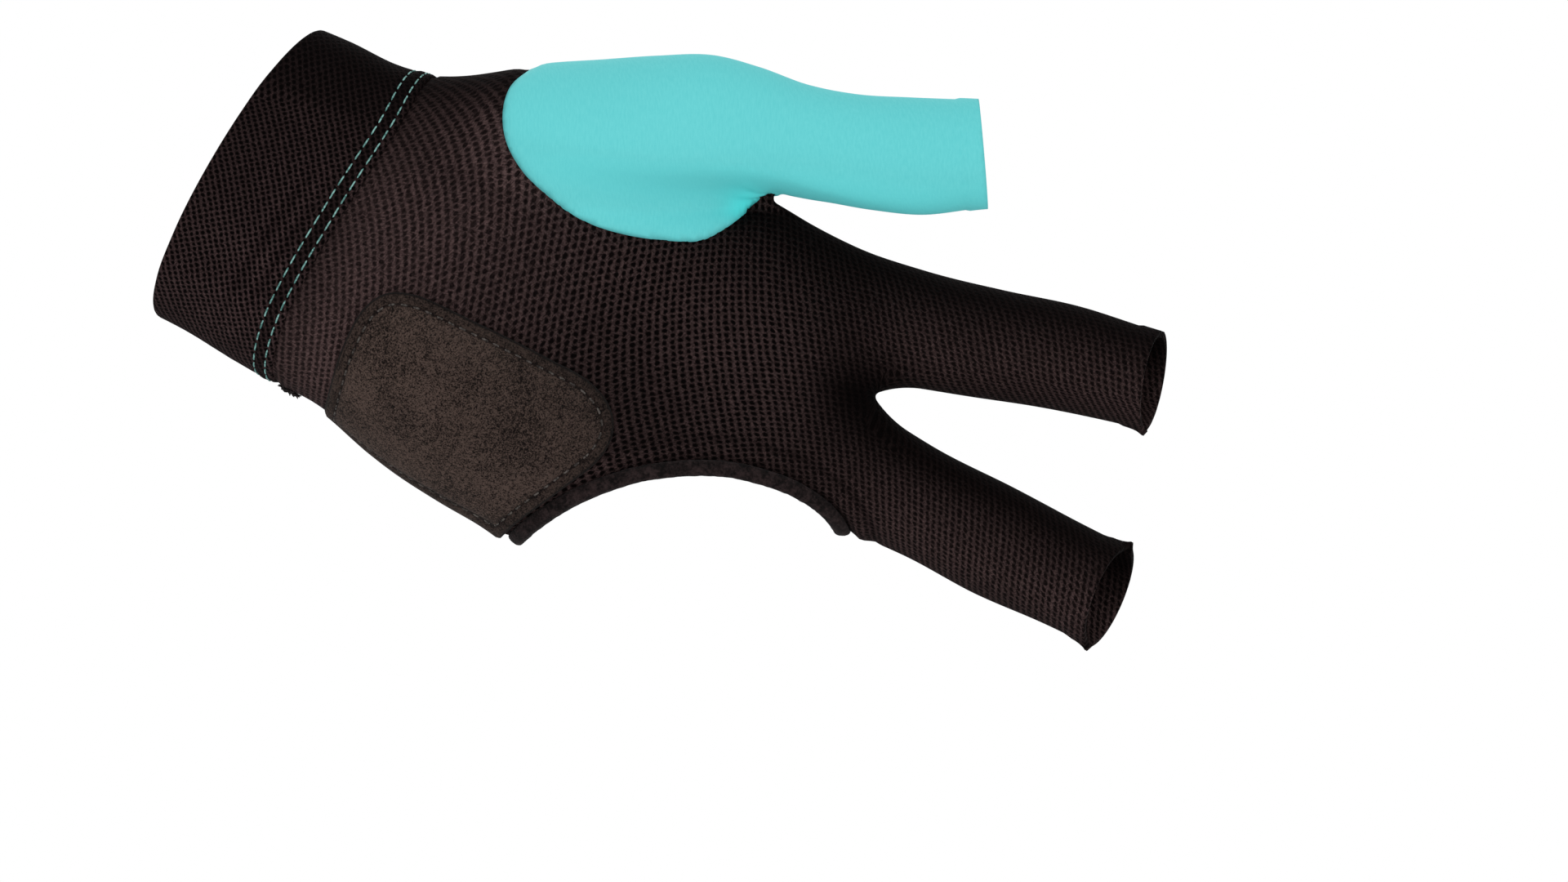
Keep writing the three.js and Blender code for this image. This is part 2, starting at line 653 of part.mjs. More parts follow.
function meshOf(name, solid, colour, roughness) {
  const { vertProperties, triVerts } = solid.getMesh();
  const geometry = new THREE.BufferGeometry();
  geometry.setAttribute('position', new THREE.BufferAttribute(new Float32Array(vertProperties), 3));
  geometry.setIndex(new THREE.BufferAttribute(new Uint32Array(triVerts), 1));
  geometry.computeVertexNormals();
  const mesh = new THREE.Mesh(geometry, new THREE.MeshStandardMaterial({ color: colour, roughness }));
  mesh.name = name;
  return mesh;
}

const group = new THREE.Group();
group.name = 'billiard_glove';
group.add(meshOf('palm_panel', panel(PALM_SIDE), CLOTH_COLOURS.mesh, 0.9));
group.add(meshOf('back_panel', panel(BACK_SIDE), CLOTH_COLOURS.mesh, 0.9));
group.add(meshOf('wrist_cuff', wristCuff(), CLOTH_COLOURS.cuff, 0.92));
group.add(meshOf('thumb_sleeve', thumbSleeve(), CLOTH_COLOURS.stretch, 0.7));
group.add(meshOf('palm_patch', palmPatch(), CLOTH_COLOURS.suede, 0.95));
group.add(meshOf('opening_binding', openingBinding(), CLOTH_COLOURS.tape, 0.97));

export default group;
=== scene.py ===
# %% [markdown]
# # A billiard glove, dressed
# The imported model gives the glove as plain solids. This lesson replaces each of them with a detailed surface
# of the same place and size, and gives every surface a finish. Lengths are worked out in millimetres, as in
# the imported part, and become metres only when a mesh is made. The hand lies along x, from the wrist to the
# fingertips. The palm faces -y, and z runs from the little finger to the thumb.

import bpy
import numpy as np
from mathutils import Matrix, Vector


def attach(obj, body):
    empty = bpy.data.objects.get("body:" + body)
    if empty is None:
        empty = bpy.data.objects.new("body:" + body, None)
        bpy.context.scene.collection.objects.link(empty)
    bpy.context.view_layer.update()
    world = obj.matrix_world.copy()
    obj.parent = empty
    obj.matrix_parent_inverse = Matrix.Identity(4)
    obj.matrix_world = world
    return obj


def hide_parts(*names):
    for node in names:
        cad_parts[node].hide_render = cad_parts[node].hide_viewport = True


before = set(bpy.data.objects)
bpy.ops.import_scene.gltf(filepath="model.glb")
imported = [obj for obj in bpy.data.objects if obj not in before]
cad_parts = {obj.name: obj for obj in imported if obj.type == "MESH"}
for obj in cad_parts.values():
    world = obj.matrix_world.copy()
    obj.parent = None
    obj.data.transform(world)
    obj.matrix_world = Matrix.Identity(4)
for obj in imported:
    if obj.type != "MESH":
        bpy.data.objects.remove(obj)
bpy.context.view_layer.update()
MM = 0.001
PALM_SIDE = -1
BACK_SIDE = 1
print("nodes:", sorted(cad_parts))

# %% [markdown]
# ## Camera
# The photograph looks straight at the palm, with the hand turned 20 degrees so that the fingers point down
# to the right. A long lens keeps the glove nearly free of perspective, as a catalogue picture does. The three
# axes of the camera are the columns of its matrix, so no rotation has to be worked out.

# %% Camera
TURN = np.radians(20.0)
AIM = Vector((119.5, 0.0, -13.7)) * MM
FRAME_WIDTH = 309.7 * MM
LENS = 300.0
SENSOR = 36.0
FARTHEST_SEEN = 50.0


def add_camera():
    """A camera that stands frame width * lens / sensor away from its aim."""
    right = Vector((np.cos(TURN), 0.0, np.sin(TURN)))
    up = Vector((-np.sin(TURN), 0.0, np.cos(TURN)))
    back = Vector((0.0, -1.0, 0.0))
    distance = FRAME_WIDTH * LENS / SENSOR
    data = bpy.data.cameras.new("camera")
    data.lens = LENS
    data.sensor_width = SENSOR
    data.clip_end = FARTHEST_SEEN
    camera = bpy.data.objects.new("camera", data)
    bpy.context.scene.collection.objects.link(camera)
    facing = Matrix((right, up, back)).transposed().to_4x4()
    camera.matrix_world = Matrix.Translation(AIM + back * distance) @ facing
    bpy.context.scene.camera = camera
    print("camera distance", round(distance, 3), "m")


add_camera()

# %% [markdown]
# ## Light and floor
# Black cloth shows its form only by soft, broad light. One large lamp stands in front, one shines up from
# below, and one behind lights the back. The background of the photograph is pure white, so the world is white
# to the camera, while the light that it gives is weaker.

# %% Lamps
GLOVE_MIDDLE = Vector((0.1, 0.0, 0.0))
LAMPS = {
    "key": {"place": (-0.15, -1.5, 0.05), "size": 1.3, "power": 4.5},
    "fill": {"place": (0.1, -1.1, -0.4), "size": 0.8, "power": 1.6},
    "behind": {"place": (-0.4, 1.2, 0.5), "size": 1.0, "power": 4.0},
}


def area_light(name, place, size, power):
    """A square soft light that faces the middle of the glove."""
    light = bpy.data.lights.new(name, "AREA")
    light.size = size
    light.energy = power
    lamp = bpy.data.objects.new(name, light)
    bpy.context.scene.collection.objects.link(lamp)
    lamp.location = place
    lamp.visible_camera = False
    lamp.rotation_euler = (GLOVE_MIDDLE - lamp.location).to_track_quat("-Z", "Y").to_euler()
    print(name, power, "W")


for name, lamp in LAMPS.items():
    area_light(name, **lamp)

# %% World and floor
SEEN_LIGHT = 1.0
GIVEN_LIGHT = 0.84
FLOOR_PLACE = (0.1, 0.0, -0.45)
FLOOR_SIZE = 6.0


def white_world():
    """Two white backgrounds, mixed by the light path: the camera sees one, the other lights the glove."""
    world = bpy.data.worlds.new("white studio")
    world.use_nodes = True
    nodes = world.node_tree.nodes
    links = world.node_tree.links
    nodes.clear()
    path = nodes.new("ShaderNodeLightPath")
    both = nodes.new("ShaderNodeMixShader")
    sky = nodes.new("ShaderNodeOutputWorld")
    links.new(path.outputs["Is Camera Ray"], both.inputs["Fac"])
    for number, strength in ((1, GIVEN_LIGHT), (2, SEEN_LIGHT)):
        white = nodes.new("ShaderNodeBackground")
        white.inputs["Color"].default_value = (1.0, 1.0, 1.0, 1.0)
        white.inputs["Strength"].default_value = strength
        links.new(white.outputs[0], both.inputs[number])
    links.new(both.outputs[0], sky.inputs["Surface"])
    bpy.context.scene.world = world


white_world()
bpy.context.scene.view_settings.view_transform = "Standard"
bpy.ops.mesh.primitive_plane_add(size=FLOOR_SIZE, location=FLOOR_PLACE)
floor = bpy.context.object
floor.name = "floor"
print("floor at", FLOOR_PLACE[2], "m")

# %% [markdown]
# ## The form of the hand
# A knitted glove has no form of its own: it takes that of the hand. The hand is described by four lobes: the
# palm, the thumb, the index and the middle finger. A table gives each lobe's edges and depth at stations
# along the hand. Seen from the palm, each lobe has a half depth, squared, that falls from its middle to zero
# at its edge. A soft maximum of the lobes makes webs and rounded edges by itself, which separate tubes would
# not.

# %% Tables of the form


def table(names, *rows):
    """Named columns from rows of numbers."""
    values = np.array(rows, float)
    return {name: values[:, i] for i, name in enumerate(names.split())}


# low, high: the lobe's edges. half, mid: half its depth, and its middle plane. full: 2 is an ellipse.
PALM = table(
    "x low high half mid full",
    [-16, -31.5, 31.0, 20.5, 0.0, 2.1],
    [0, -33.2, 31.2, 20.5, 0.0, 2.1],
    [12, -35.6, 30.8, 20.0, -0.4, 2.2],
    [22, -37.3, 29.7, 20.0, -1.0, 2.3],
    [30, -38.4, 30.3, 20.2, -1.5, 2.4],
    [40, -41.4, 32.5, 20.0, -2.2, 2.5],
    [50, -44.6, 34.0, 19.2, -2.6, 2.6],
    [60, -46.9, 35.0, 18.0, -2.6, 2.7],
    [70, -48.8, 35.0, 16.8, -2.0, 2.8],
    [80, -51.9, 34.0, 15.8, -1.2, 2.9],
    [90, -55.0, 32.6, 15.0, -0.4, 3.0],
    [100, -58.2, 30.6, 14.6, 0.2, 3.0],
    [110, -61.5, 28.5, 14.4, 0.6, 3.0],
    [120, -64.0, 27.3, 13.9, 0.8, 2.8],
    [130, -65.0, 27.0, 13.0, 0.8, 2.6],
    [142, -65.0, 28.2, 12.2, 0.6, 2.4],
)
THUMB = table(
    "x low high half mid full",
    [20, 2.0, 24.0, 8.0, -4.0, 2.0],
    [40, 4.0, 34.6, 14.0, -6.0, 2.0],
    [50, 6.0, 40.0, 15.6, -7.5, 2.0],
    [60, 9.0, 44.4, 16.0, -8.8, 2.0],
    [70, 13.5, 48.8, 15.6, -10.0, 2.0],
    [80, 19.0, 52.6, 14.6, -11.0, 2.1],
    [90, 25.2, 53.6, 13.0, -11.8, 2.1],
    [100, 30.8, 53.6, 11.8, -12.2, 2.1],
    [110, 33.2, 55.2, 11.2, -12.4, 2.0],
    [120, 35.0, 58.2, 11.2, -12.4, 2.0],
    [130, 37.6, 61.4, 11.4, -12.0, 2.0],
    [140, 42.6, 64.6, 11.2, -11.5, 2.0],
    [152, 48.0, 70.0, 11.0, -11.0, 2.0],
)
INDEX = table(
    "x low high half mid full",
    [116, 0.5, 27.5, 12.6, 0.8, 2.1],
    [135, 4.0, 27.6, 11.6, 0.8, 2.1],
    [150, 6.8, 29.2, 10.9, 0.2, 2.1],
    [165, 9.8, 31.3, 10.4, -0.8, 2.1],
    [180, 12.0, 31.9, 10.0, -2.4, 2.0],
    [200, 14.4, 33.2, 9.6, -5.0, 2.0],
)
MIDDLE = table(
    "x low high half mid full",
    [116, -26.0, 1.0, 12.8, 0.8, 2.1],
    [135, -26.2, -2.0, 12.2, 0.8, 2.1],
    [150, -27.0, -5.0, 11.4, 0.2, 2.1],
    [165, -29.2, -6.7, 11.0, -0.8, 2.1],
    [180, -30.1, -8.8, 10.7, -2.4, 2.0],
    [206, -32.6, -12.0, 10.2, -5.8, 2.0],
)
# Swellings and hollows: side is -1 on the palm and 1 on the back, rise is the height over the plain lobe
RELIEF = table(
    "side x z reach_x reach_z rise",
    [-1, 66, 25, 20, 12, 2.0],
    [-1, 50, -30, 25, 13, 3.4],
    [-1, 93, -5, 24, 16, -3.8],
    [-1, 122, 2, 9, 26, 1.4],
    [-1, 96, 28, 5, 3.5, -1.6],
    [1, 121, 14, 9, 8, 1.6],
    [1, 122, -12, 9, 8, 1.6],
    [-1, 6, -24, 12, 2.6, 0.9],
    [-1, 6, -17.5, 12, 3.0, -0.7],
    [-1, 8, 17, 12, 3.4, 0.6],
)
print("stations:", sum(len(lobe["x"]) for lobe in (PALM, THUMB, INDEX, MIDDLE)))

# %% [markdown]
# ### Curves and steps
# Five small functions carry the whole form. They take whole arrays, so a surface of ten thousand points is
# worked out by a few calls and without a loop.

# %% Curves and steps


def mix(a, b, share):
    """The value at a share of the way from a to b."""
    return a + (b - a) * share


def ease(start, end, value):
    """0 before start, 1 after end, and a smooth cubic step between."""
    share = np.clip((value - start) / (end - start), 0.0, 1.0)
    return share * share * (3 - 2 * share)


def bump(value, at, reach):
    """1 where value is at, fading on both sides as exp(-((value - at) / reach) ** 2)."""
    return np.exp(-(((value - at) / reach) ** 2))


def soft_max(a, b, reach):
    """The larger of two values, rounded where they are closer than reach."""
    closeness = np.maximum(reach - np.abs(a - b), 0.0)
    return np.maximum(a, b) + closeness**2 / (4 * reach)


def curve(rows, name, at, key="x"):
    """A column as a smooth curve: cubic pieces, each row's slope being that between its two neighbours."""
    xs, ys = rows[key], rows[name]
    before = np.maximum(np.arange(len(xs)) - 1, 0)
    after = np.minimum(np.arange(len(xs)) + 1, len(xs) - 1)
    slope = (ys[after] - ys[before]) / (xs[after] - xs[before])
    at = np.clip(at, xs[0], xs[-1])
    i = np.clip(np.searchsorted(xs, at, side="right") - 1, 0, len(xs) - 2)
    step = xs[i + 1] - xs[i]
    t = (at - xs[i]) / step
    rise = ys[i + 1] - ys[i]
    leave = slope[i] * step
    arrive = slope[i + 1] * step
    return ys[i] + t * (leave + t * (3 * rise - 2 * leave - arrive + t * (leave + arrive - 2 * rise)))


print("half way up a step:", ease(0.0, 2.0, 1.0))

# %% [markdown]
# ### The hand as a function of place
# Half the depth, squared, is the value to add up and mix: it falls evenly through zero at the outline, where
# the depth itself has an endless slope. The same value, taken less the height squared, points outwards.

# %% Depth of the hand
FINGER_BLEND = 60.0
THUMB_BLEND = 50.0
MIDDLE_BLEND = 160.0
FINGERS_START = 119.0
FINGERS_FULL = 142.0


def lobe_depth(rows, x, z):
    """Half depth squared of one lobe: half squared times (1 - |offset from its middle| ** full)."""
    low, high = curve(rows, "low", x), curve(rows, "high", x)
    offset = np.abs((2 * z - low - high) / (high - low))
    return curve(rows, "half", x) ** 2 * (1 - offset ** curve(rows, "full", x))


def lobes(x, z):
    """How far the fingers have taken over from the palm, and half depth squared without and of the thumb."""
    share = ease(FINGERS_START, FINGERS_FULL, x)
    fingers = soft_max(lobe_depth(INDEX, x, z), lobe_depth(MIDDLE, x, z), FINGER_BLEND)
    return share, mix(lobe_depth(PALM, x, z), fingers, share), lobe_depth(THUMB, x, z)


def depth_squared(x, z):
    """Half depth squared of the whole hand, below zero outside its outline."""
    _, body, thumb = lobes(x, z)
    return soft_max(body, thumb, THUMB_BLEND)


def middle_plane(x, z):
    """Height of the plane that parts the palm side from the back, where the side seams run."""
    share, body, thumb = lobes(x, z)
    level = mix(curve(PALM, "mid", x), curve(INDEX, "mid", x), share)
    return mix(level, curve(THUMB, "mid", x), ease(-MIDDLE_BLEND, MIDDLE_BLEND, thumb - body))


print("half depth at mid palm", round(float(np.sqrt(depth_squared(80.0, 0.0))), 1), "mm")

# %% Surface and outward direction
RELIEF_FADE = 6.0
SLOPE_REACH = 0.05
NEARLY_ZERO = 1e-12


def relief(x, z, side):
    """Sum of one side's smooth swellings: rise * a bump along the hand * a bump across it."""
    total = np.zeros(np.broadcast(x, z).shape)
    for of_side, at_x, at_z, reach_x, reach_z, rise in zip(*RELIEF.values()):
        if of_side == side:
            total += rise * bump(x, at_x, reach_x) * bump(z, at_z, reach_z)
    return total


def face_depth_squared(x, z, side):
    """Half depth squared with the relief, which fades out towards the side seams."""
    squared = depth_squared(x, z)
    rise = relief(x, z, side)
    near = squared * (1 + rise / RELIEF_FADE) ** 2
    far = (np.sqrt(np.maximum(squared, 0)) + rise) ** 2
    return np.where(squared < RELIEF_FADE**2, near, far)


def surface_y(x, z, side):
    """Place of the surface in depth: the middle plane, and from it half the depth."""
    return middle_plane(x, z) + side * np.sqrt(np.maximum(face_depth_squared(x, z, side), 0))


def on_face(x, z, side):
    """Points of the surface on one side."""
    return np.stack([x, surface_y(x, z, side), z], -1)


def outward(x, y, z, side):
    """Unit direction away from the hand: the gradient of (y - middle) squared minus half depth squared."""

    def height(a, b, c):
        return (b - middle_plane(a, c)) ** 2 - face_depth_squared(a, c, side)

    h = SLOPE_REACH
    slope = np.stack(
        [
            height(x + h, y, z) - height(x - h, y, z),
            height(x, y + h, z) - height(x, y - h, z),
            height(x, y, z + h) - height(x, y, z - h),
        ],
        axis=-1,
    )
    return slope / np.maximum(np.linalg.norm(slope, axis=-1, keepdims=True), NEARLY_ZERO)


def away(p, side):
    """Outward directions at points that lie on the palm side (-1) or the back (1)."""
    side = np.broadcast_to(side, p.shape[:-1])
    out = np.zeros_like(p)
    for each in (PALM_SIDE, BACK_SIDE):
        here = side == each
        out[here] = outward(*p[here].T, each)
    return out


def seam_distance(p):
    """Distance from the side seam, taken as the height over the middle plane."""
    return np.abs(p[..., 1] - middle_plane(p[..., 0], p[..., 2]))


print("palm surface at the middle", on_face(80.0, 0.0, PALM_SIDE).round(1), "mm")

# %% [markdown]
# ## Strips of cloth
# The outline closes at two webs: between thumb and index, and between index and middle finger. Lines from
# the wrist to the webs part the hand into three strips, so each strip is a plain grid: a station along the
# hand by a share of the way across, measured along the cloth. Beyond a web the same grid is one half of a
# finger.

# %% Edges and webs
EDGE_SAMPLES = 200
WEB_SAMPLES = 2000
HALVINGS = 40


def boundary(inside, near, far):
    """The last place inside on the way from near to far, by halving, for single places or whole arrays."""
    for _ in range(HALVINGS):
        between = (near + far) / 2
        within = inside(between)
        near = np.where(within, between, near)
        far = np.where(within, far, between)
    return near


def edge_from(x, start, reach):
    """Height where the outline ends, looking from start over the signed distance reach."""
    x = np.asarray(x, float)
    heights = np.broadcast_to(start, x.shape)[..., None] + reach * np.linspace(0, 1, EDGE_SAMPLES)
    first = np.argmax(depth_squared(x[..., None], heights) < 0, axis=-1)[..., None]
    near = np.take_along_axis(heights, first - 1, -1)[..., 0]
    far = np.take_along_axis(heights, first, -1)[..., 0]
    return boundary(lambda z: depth_squared(x, z) > 0, near, far)


def find_web(closed, parted, low, high):
    """Station and height where the outline first parts between two lobes."""
    heights = np.linspace(low, high, WEB_SAMPLES)
    station = float(boundary(lambda x: depth_squared(x, heights).min() > 0, closed, parted))
    return station, heights[np.argmin(depth_squared(station, heights))]


THUMB_WEB = find_web(92.0, 112.0, 25.0, 38.0)
FINGER_WEB = find_web(126.0, 148.0, -7.0, 10.0)
print("webs at", np.round(THUMB_WEB, 1), np.round(FINGER_WEB, 1))

# %% Limits of the strips
WRIST_STATION = -16.0
THUMB_LINE_START = 12.0
FINGER_LINE_START = -3.0
# Heights that are inside a lobe all along it, and how far above and below them its edge is looked for
THUMB_BALL = 25.0
THUMB_BALL_ENDS = 60.0
WITHIN_INDEX = 18.0
WITHIN_MIDDLE = -18.0
ABOVE_THUMB = 40.0
ABOVE = 30.0
BELOW = -30.0
BELOW_MIDDLE = -60.0


def line_height(start, web, x):
    """Height of the straight line from the wrist to a web."""
    return mix(start, web[1], (x - WRIST_STATION) / (web[0] - WRIST_STATION))


def lobe_centre(rows, x):
    return (curve(rows, "low", x) + curve(rows, "high", x)) / 2


def little_finger_edge(x):
    """Height of the outline on the little finger's side."""
    return edge_from(x, WITHIN_MIDDLE, BELOW_MIDDLE)


def strip_limits(strip, x):
    """Upper and lower height of a strip at each station."""
    thumb_line = line_height(THUMB_LINE_START, THUMB_WEB, x)
    finger_line = line_height(FINGER_LINE_START, FINGER_WEB, x)
    if strip == "thumb":
        centre = np.where(x < THUMB_BALL_ENDS, THUMB_BALL, lobe_centre(THUMB, x))
        bottom = np.where(x <= THUMB_WEB[0], thumb_line, edge_from(x, centre, BELOW))
        return edge_from(x, centre, ABOVE_THUMB), bottom
    if strip == "index":
        top = np.where(x <= THUMB_WEB[0], thumb_line, edge_from(x, WITHIN_INDEX, ABOVE))
        return top, np.where(x <= FINGER_WEB[0], finger_line, edge_from(x, WITHIN_INDEX, BELOW))
    top = np.where(x <= FINGER_WEB[0], finger_line, edge_from(x, WITHIN_MIDDLE, ABOVE))
    return top, little_finger_edge(x)


print("little finger's side at mid palm", np.round(little_finger_edge(80.0), 1), "mm")

# %% [markdown]
# ### Across a strip
# A row of points has to stand evenly on the cloth, not on the picture, or the cells stretch where the surface
# turns away. So each station's section is first drawn finely, its length is added up, and the points are then
# set at shares of that length.

# %% Points across a strip
FINE = 140
AT_SEAM = 1e-3
TINY = 1e-9


def section(strip, x, side):
    """The cloth's course across a strip at each station: fine heights, depths and length run so far."""
    top, bottom = strip_limits(strip, x)
    share = (1 - np.cos(np.pi * np.linspace(0, 1, FINE + 1))) / 2
    z = mix(top[:, None], bottom[:, None], share)
    y = surface_y(x[:, None], z, side)
    for column, edge in ((0, top), (-1, bottom)):
        on_seam = np.abs(depth_squared(x, edge)) < AT_SEAM
        y[:, column] = np.where(on_seam, middle_plane(x, edge), y[:, column])
    run = np.zeros_like(z)
    run[:, 1:] = np.cumsum(np.hypot(np.diff(y, axis=1), np.diff(z, axis=1)), axis=1)
    return z, y, run


def between_columns(grid, k, share):
    """Values of each row between its columns k - 1 and k."""
    return mix(np.take_along_axis(grid, k - 1, 1), np.take_along_axis(grid, k, 1), share)


def share_between(grid, k, value):
    """Where a value lies between columns k - 1 and k, from 0 to 1."""
    start, end = np.take_along_axis(grid, k - 1, 1), np.take_along_axis(grid, k, 1)
    gap = end - start
    return np.clip((value - start) / np.where(np.abs(gap) < TINY, TINY, gap), 0, 1)


def across(strip, x, t, side):
    """Points at stations x (n) and shares t (n by m) of the way across a strip, and the length run there."""
    z, y, run = section(strip, x, side)
    wanted = t * run[:, -1:]
    k = np.clip((run[:, None, :] < wanted[:, :, None]).sum(-1), 1, FINE)
    height = between_columns(z, k, share_between(run, k, wanted))
    at_rim = (t < TINY) | (t > 1 - TINY)
    rim = np.where(t < 0.5, y[:, :1], y[:, -1:])
    depth = np.where(at_rim, rim, surface_y(x[:, None], height, side))
    return np.stack([np.broadcast_to(x[:, None], height.shape), depth, height], -1), wanted


print("points in a fine section:", FINE + 1)

# %% [markdown]
# ### Sheets
# Each strip becomes quads, and strips that touch are joined point by point. The knit must run on from strip
# to strip, so every corner also keeps its cloth coordinates: the station, and the length along the cloth
# from the line between index and middle finger. On a sleeve that turns into the length from its own middle.

# %% Grids and stations
CROWDING = 0.55
WEB_REACH = 7.5
WEB_STATIONS = 14


def crowded(count):
    """Shares from 0 to 1 that stand closer together at both ends."""
    t = np.linspace(0, 1, count + 1)
    return t - CROWDING * np.sin(2 * np.pi * t) / (2 * np.pi)


def stations(start, end, step):
    """Stations at even steps, and closer around each web, where they stand as the square of their number."""
    number = np.arange(-WEB_STATIONS, WEB_STATIONS + 1)
    near = WEB_REACH * (number / WEB_STATIONS) ** 2 * np.sign(number)
    webs = [web[0] for web in (THUMB_WEB, FINGER_WEB) if start < web[0] < end]
    plain = np.append(np.arange(start, end - step / 2, step), end)
    for web in webs:
        plain = plain[np.abs(plain - web) > WEB_REACH + step / 2]
    return np.unique(np.concatenate([plain] + [web + near for web in webs]).clip(start, end))


def grid_faces(rows, columns, close_rows=False, close_columns=False):
    """Quads between the points of a grid; a closed direction joins its last points to its first as well."""
    row, column = np.meshgrid(
        np.arange(rows if close_rows else rows - 1),
        np.arange(columns if close_columns else columns - 1),
        indexing="ij",
    )
    beside = (column + 1) % columns
    here, below = row * columns, (row + 1) % rows * columns
    corners = [here + column, here + beside, below + beside, below + column]
    return np.stack(corners, -1).reshape(-1, 4)


print("cells of a 3 by 3 grid of points:", len(grid_faces(3, 3)))

# %% Cloth coordinates
SLEEVES_START = 112.0
SLEEVES_FULL = 138.0
SLEEVE_MARGIN = 6.0


def cloth_across(strip, x, side, height, run):
    """Length along the cloth from the finger line, which on the sleeves turns into that from their middle."""
    z, _, fine = section(strip, x, side)
    line = -run if strip == "middle" else fine[:, -1:] - run
    if strip == "thumb":
        return line + section("index", np.minimum(x, THUMB_WEB[0]), side)[2][:, -1:]
    middle = lobe_centre(INDEX if strip == "index" else MIDDLE, x)[:, None]
    k = np.clip((z > middle).sum(1, keepdims=True), 1, FINE)
    centred = middle + between_columns(fine, k, share_between(z, k, middle)) - run
    edge = z[:, :1] if strip == "middle" else z[:, -1:]
    blend = ease(SLEEVES_START, SLEEVES_FULL, x)[:, None] * ease(0.0, SLEEVE_MARGIN, np.abs(height - edge))
    return mix(line, centred, blend)


print("sleeves take over between", SLEEVES_START, "and", SLEEVES_FULL, "mm")

# %% Sheets of strips
CELLS = {"thumb": 46, "index": 40, "middle": 66}
REACH = {"thumb": 146.0, "index": 194.0, "middle": 201.0}
NAMES = list(CELLS)
MERGED_PER_MM = 500


def strip_sheet(strip, side, start, end, step, cells):
    """One strip as a sheet: points, what they are worked out from, quads and cloth coordinates."""
    x = stations(start, min(end, REACH[strip]), step)
    t = np.broadcast_to(crowded(cells), (len(x), cells + 1))
    points, run = across(strip, x, t, side)
    cloth = cloth_across(strip, x, side, points[..., 2], run)
    quads = grid_faces(len(x), cells + 1)
    return {
        "points": points.reshape(-1, 3),
        "x": np.broadcast_to(x[:, None], t.shape).ravel(),
        "t": t.ravel(),
        "strip": np.full(t.size, NAMES.index(strip)),
        "side": np.full(t.size, side),
        "cloth": np.stack([points[..., 0], cloth], -1).reshape(-1, 2),
        "quads": quads if side == PALM_SIDE else quads[:, ::-1],
    }


def join_sheets(parts):
    """Several sheets as one, points at the same place made one point. Cloth coordinates stay per corner."""
    offset = np.cumsum([0] + [len(part["points"]) for part in parts[:-1]])
    quads = np.concatenate([part["quads"] + start for part, start in zip(parts, offset)])
    whole = {key: np.concatenate([part[key] for part in parts]) for key in parts[0] if key != "quads"}
    places = np.round(whole["points"] * MERGED_PER_MM).astype(np.int64)
    _, first, which = np.unique(places, axis=0, return_index=True, return_inverse=True)
    corner_cloth = whole.pop("cloth")[quads]
    sheet = {key: values[first] for key, values in whole.items()}
    return dict(sheet, corner_cloth=corner_cloth, quads=which.ravel()[quads])


def hand_sheet(sides, start, end=202.0, step=0.95, strips=NAMES, finer=1.0):
    """The form's surface between two stations, on one or both sides."""
    pairs = [(side, strip) for side in sides for strip in strips]
    return join_sheets(
        [strip_sheet(strip, side, start, end, step, int(CELLS[strip] * finer)) for side, strip in pairs]
    )


print("cells across the palm side:", sum(CELLS.values()))

# %% [markdown]
# ## Cutting the cloth
# A tailor cuts along a chalk line. Here a line is a signed distance, positive on the side that is kept. Cells
# whose middle is on the other side go, and the points left at the border move onto the line. They move in the
# strip's own two parameters, so they stay on the surface and on the side seams.

# %% Places on the strips
DENSE_STEP = 0.6
DENSE_CELLS = 180


def dense_course(strip, side):
    """A strip's surface on a dense grid: fine stations along the hand, even shares across."""
    x = stations(WRIST_STATION, REACH[strip], DENSE_STEP)
    t = np.broadcast_to(np.linspace(0, 1, DENSE_CELLS + 1), (len(x), DENSE_CELLS + 1))
    return x, across(strip, x, t, side)[0]


COURSES = {(strip, side): dense_course(strip, side) for strip in NAMES for side in (PALM_SIDE, BACK_SIDE)}


def place(sheet, picked, x, t):
    """Points for the picked entries of a sheet at new parameters: between the four nearest dense points."""
    out = np.zeros((len(picked), 3))
    for (strip, side), (rows, grid) in COURSES.items():
        here = (sheet["strip"][picked] == NAMES.index(strip)) & (sheet["side"][picked] == side)
        at = np.clip(x[here], rows[0], rows[-1])
        i = np.clip(np.searchsorted(rows, at) - 1, 0, len(rows) - 2)
        along = ((at - rows[i]) / (rows[i + 1] - rows[i]))[:, None]
        column = np.clip(t[here], 0, 1) * DENSE_CELLS
        j = np.minimum(column.astype(int), DENSE_CELLS - 1)
        beside = (column - j)[:, None]
        near = mix(grid[i, j], grid[i, j + 1], beside)
        far = mix(grid[i + 1, j], grid[i + 1, j + 1], beside)
        out[here] = mix(near, far, along)
    return out


print("dense points:", sum(grid.size // 3 for _, grid in COURSES.values()))

# %% Cutting
ROUNDS = 4
PROBE_X = 0.08
PROBE_T = 0.004
FLATTEST = 0.05
LONGEST_MOVE = 0.7
INSIDE_RIM = 1e-6


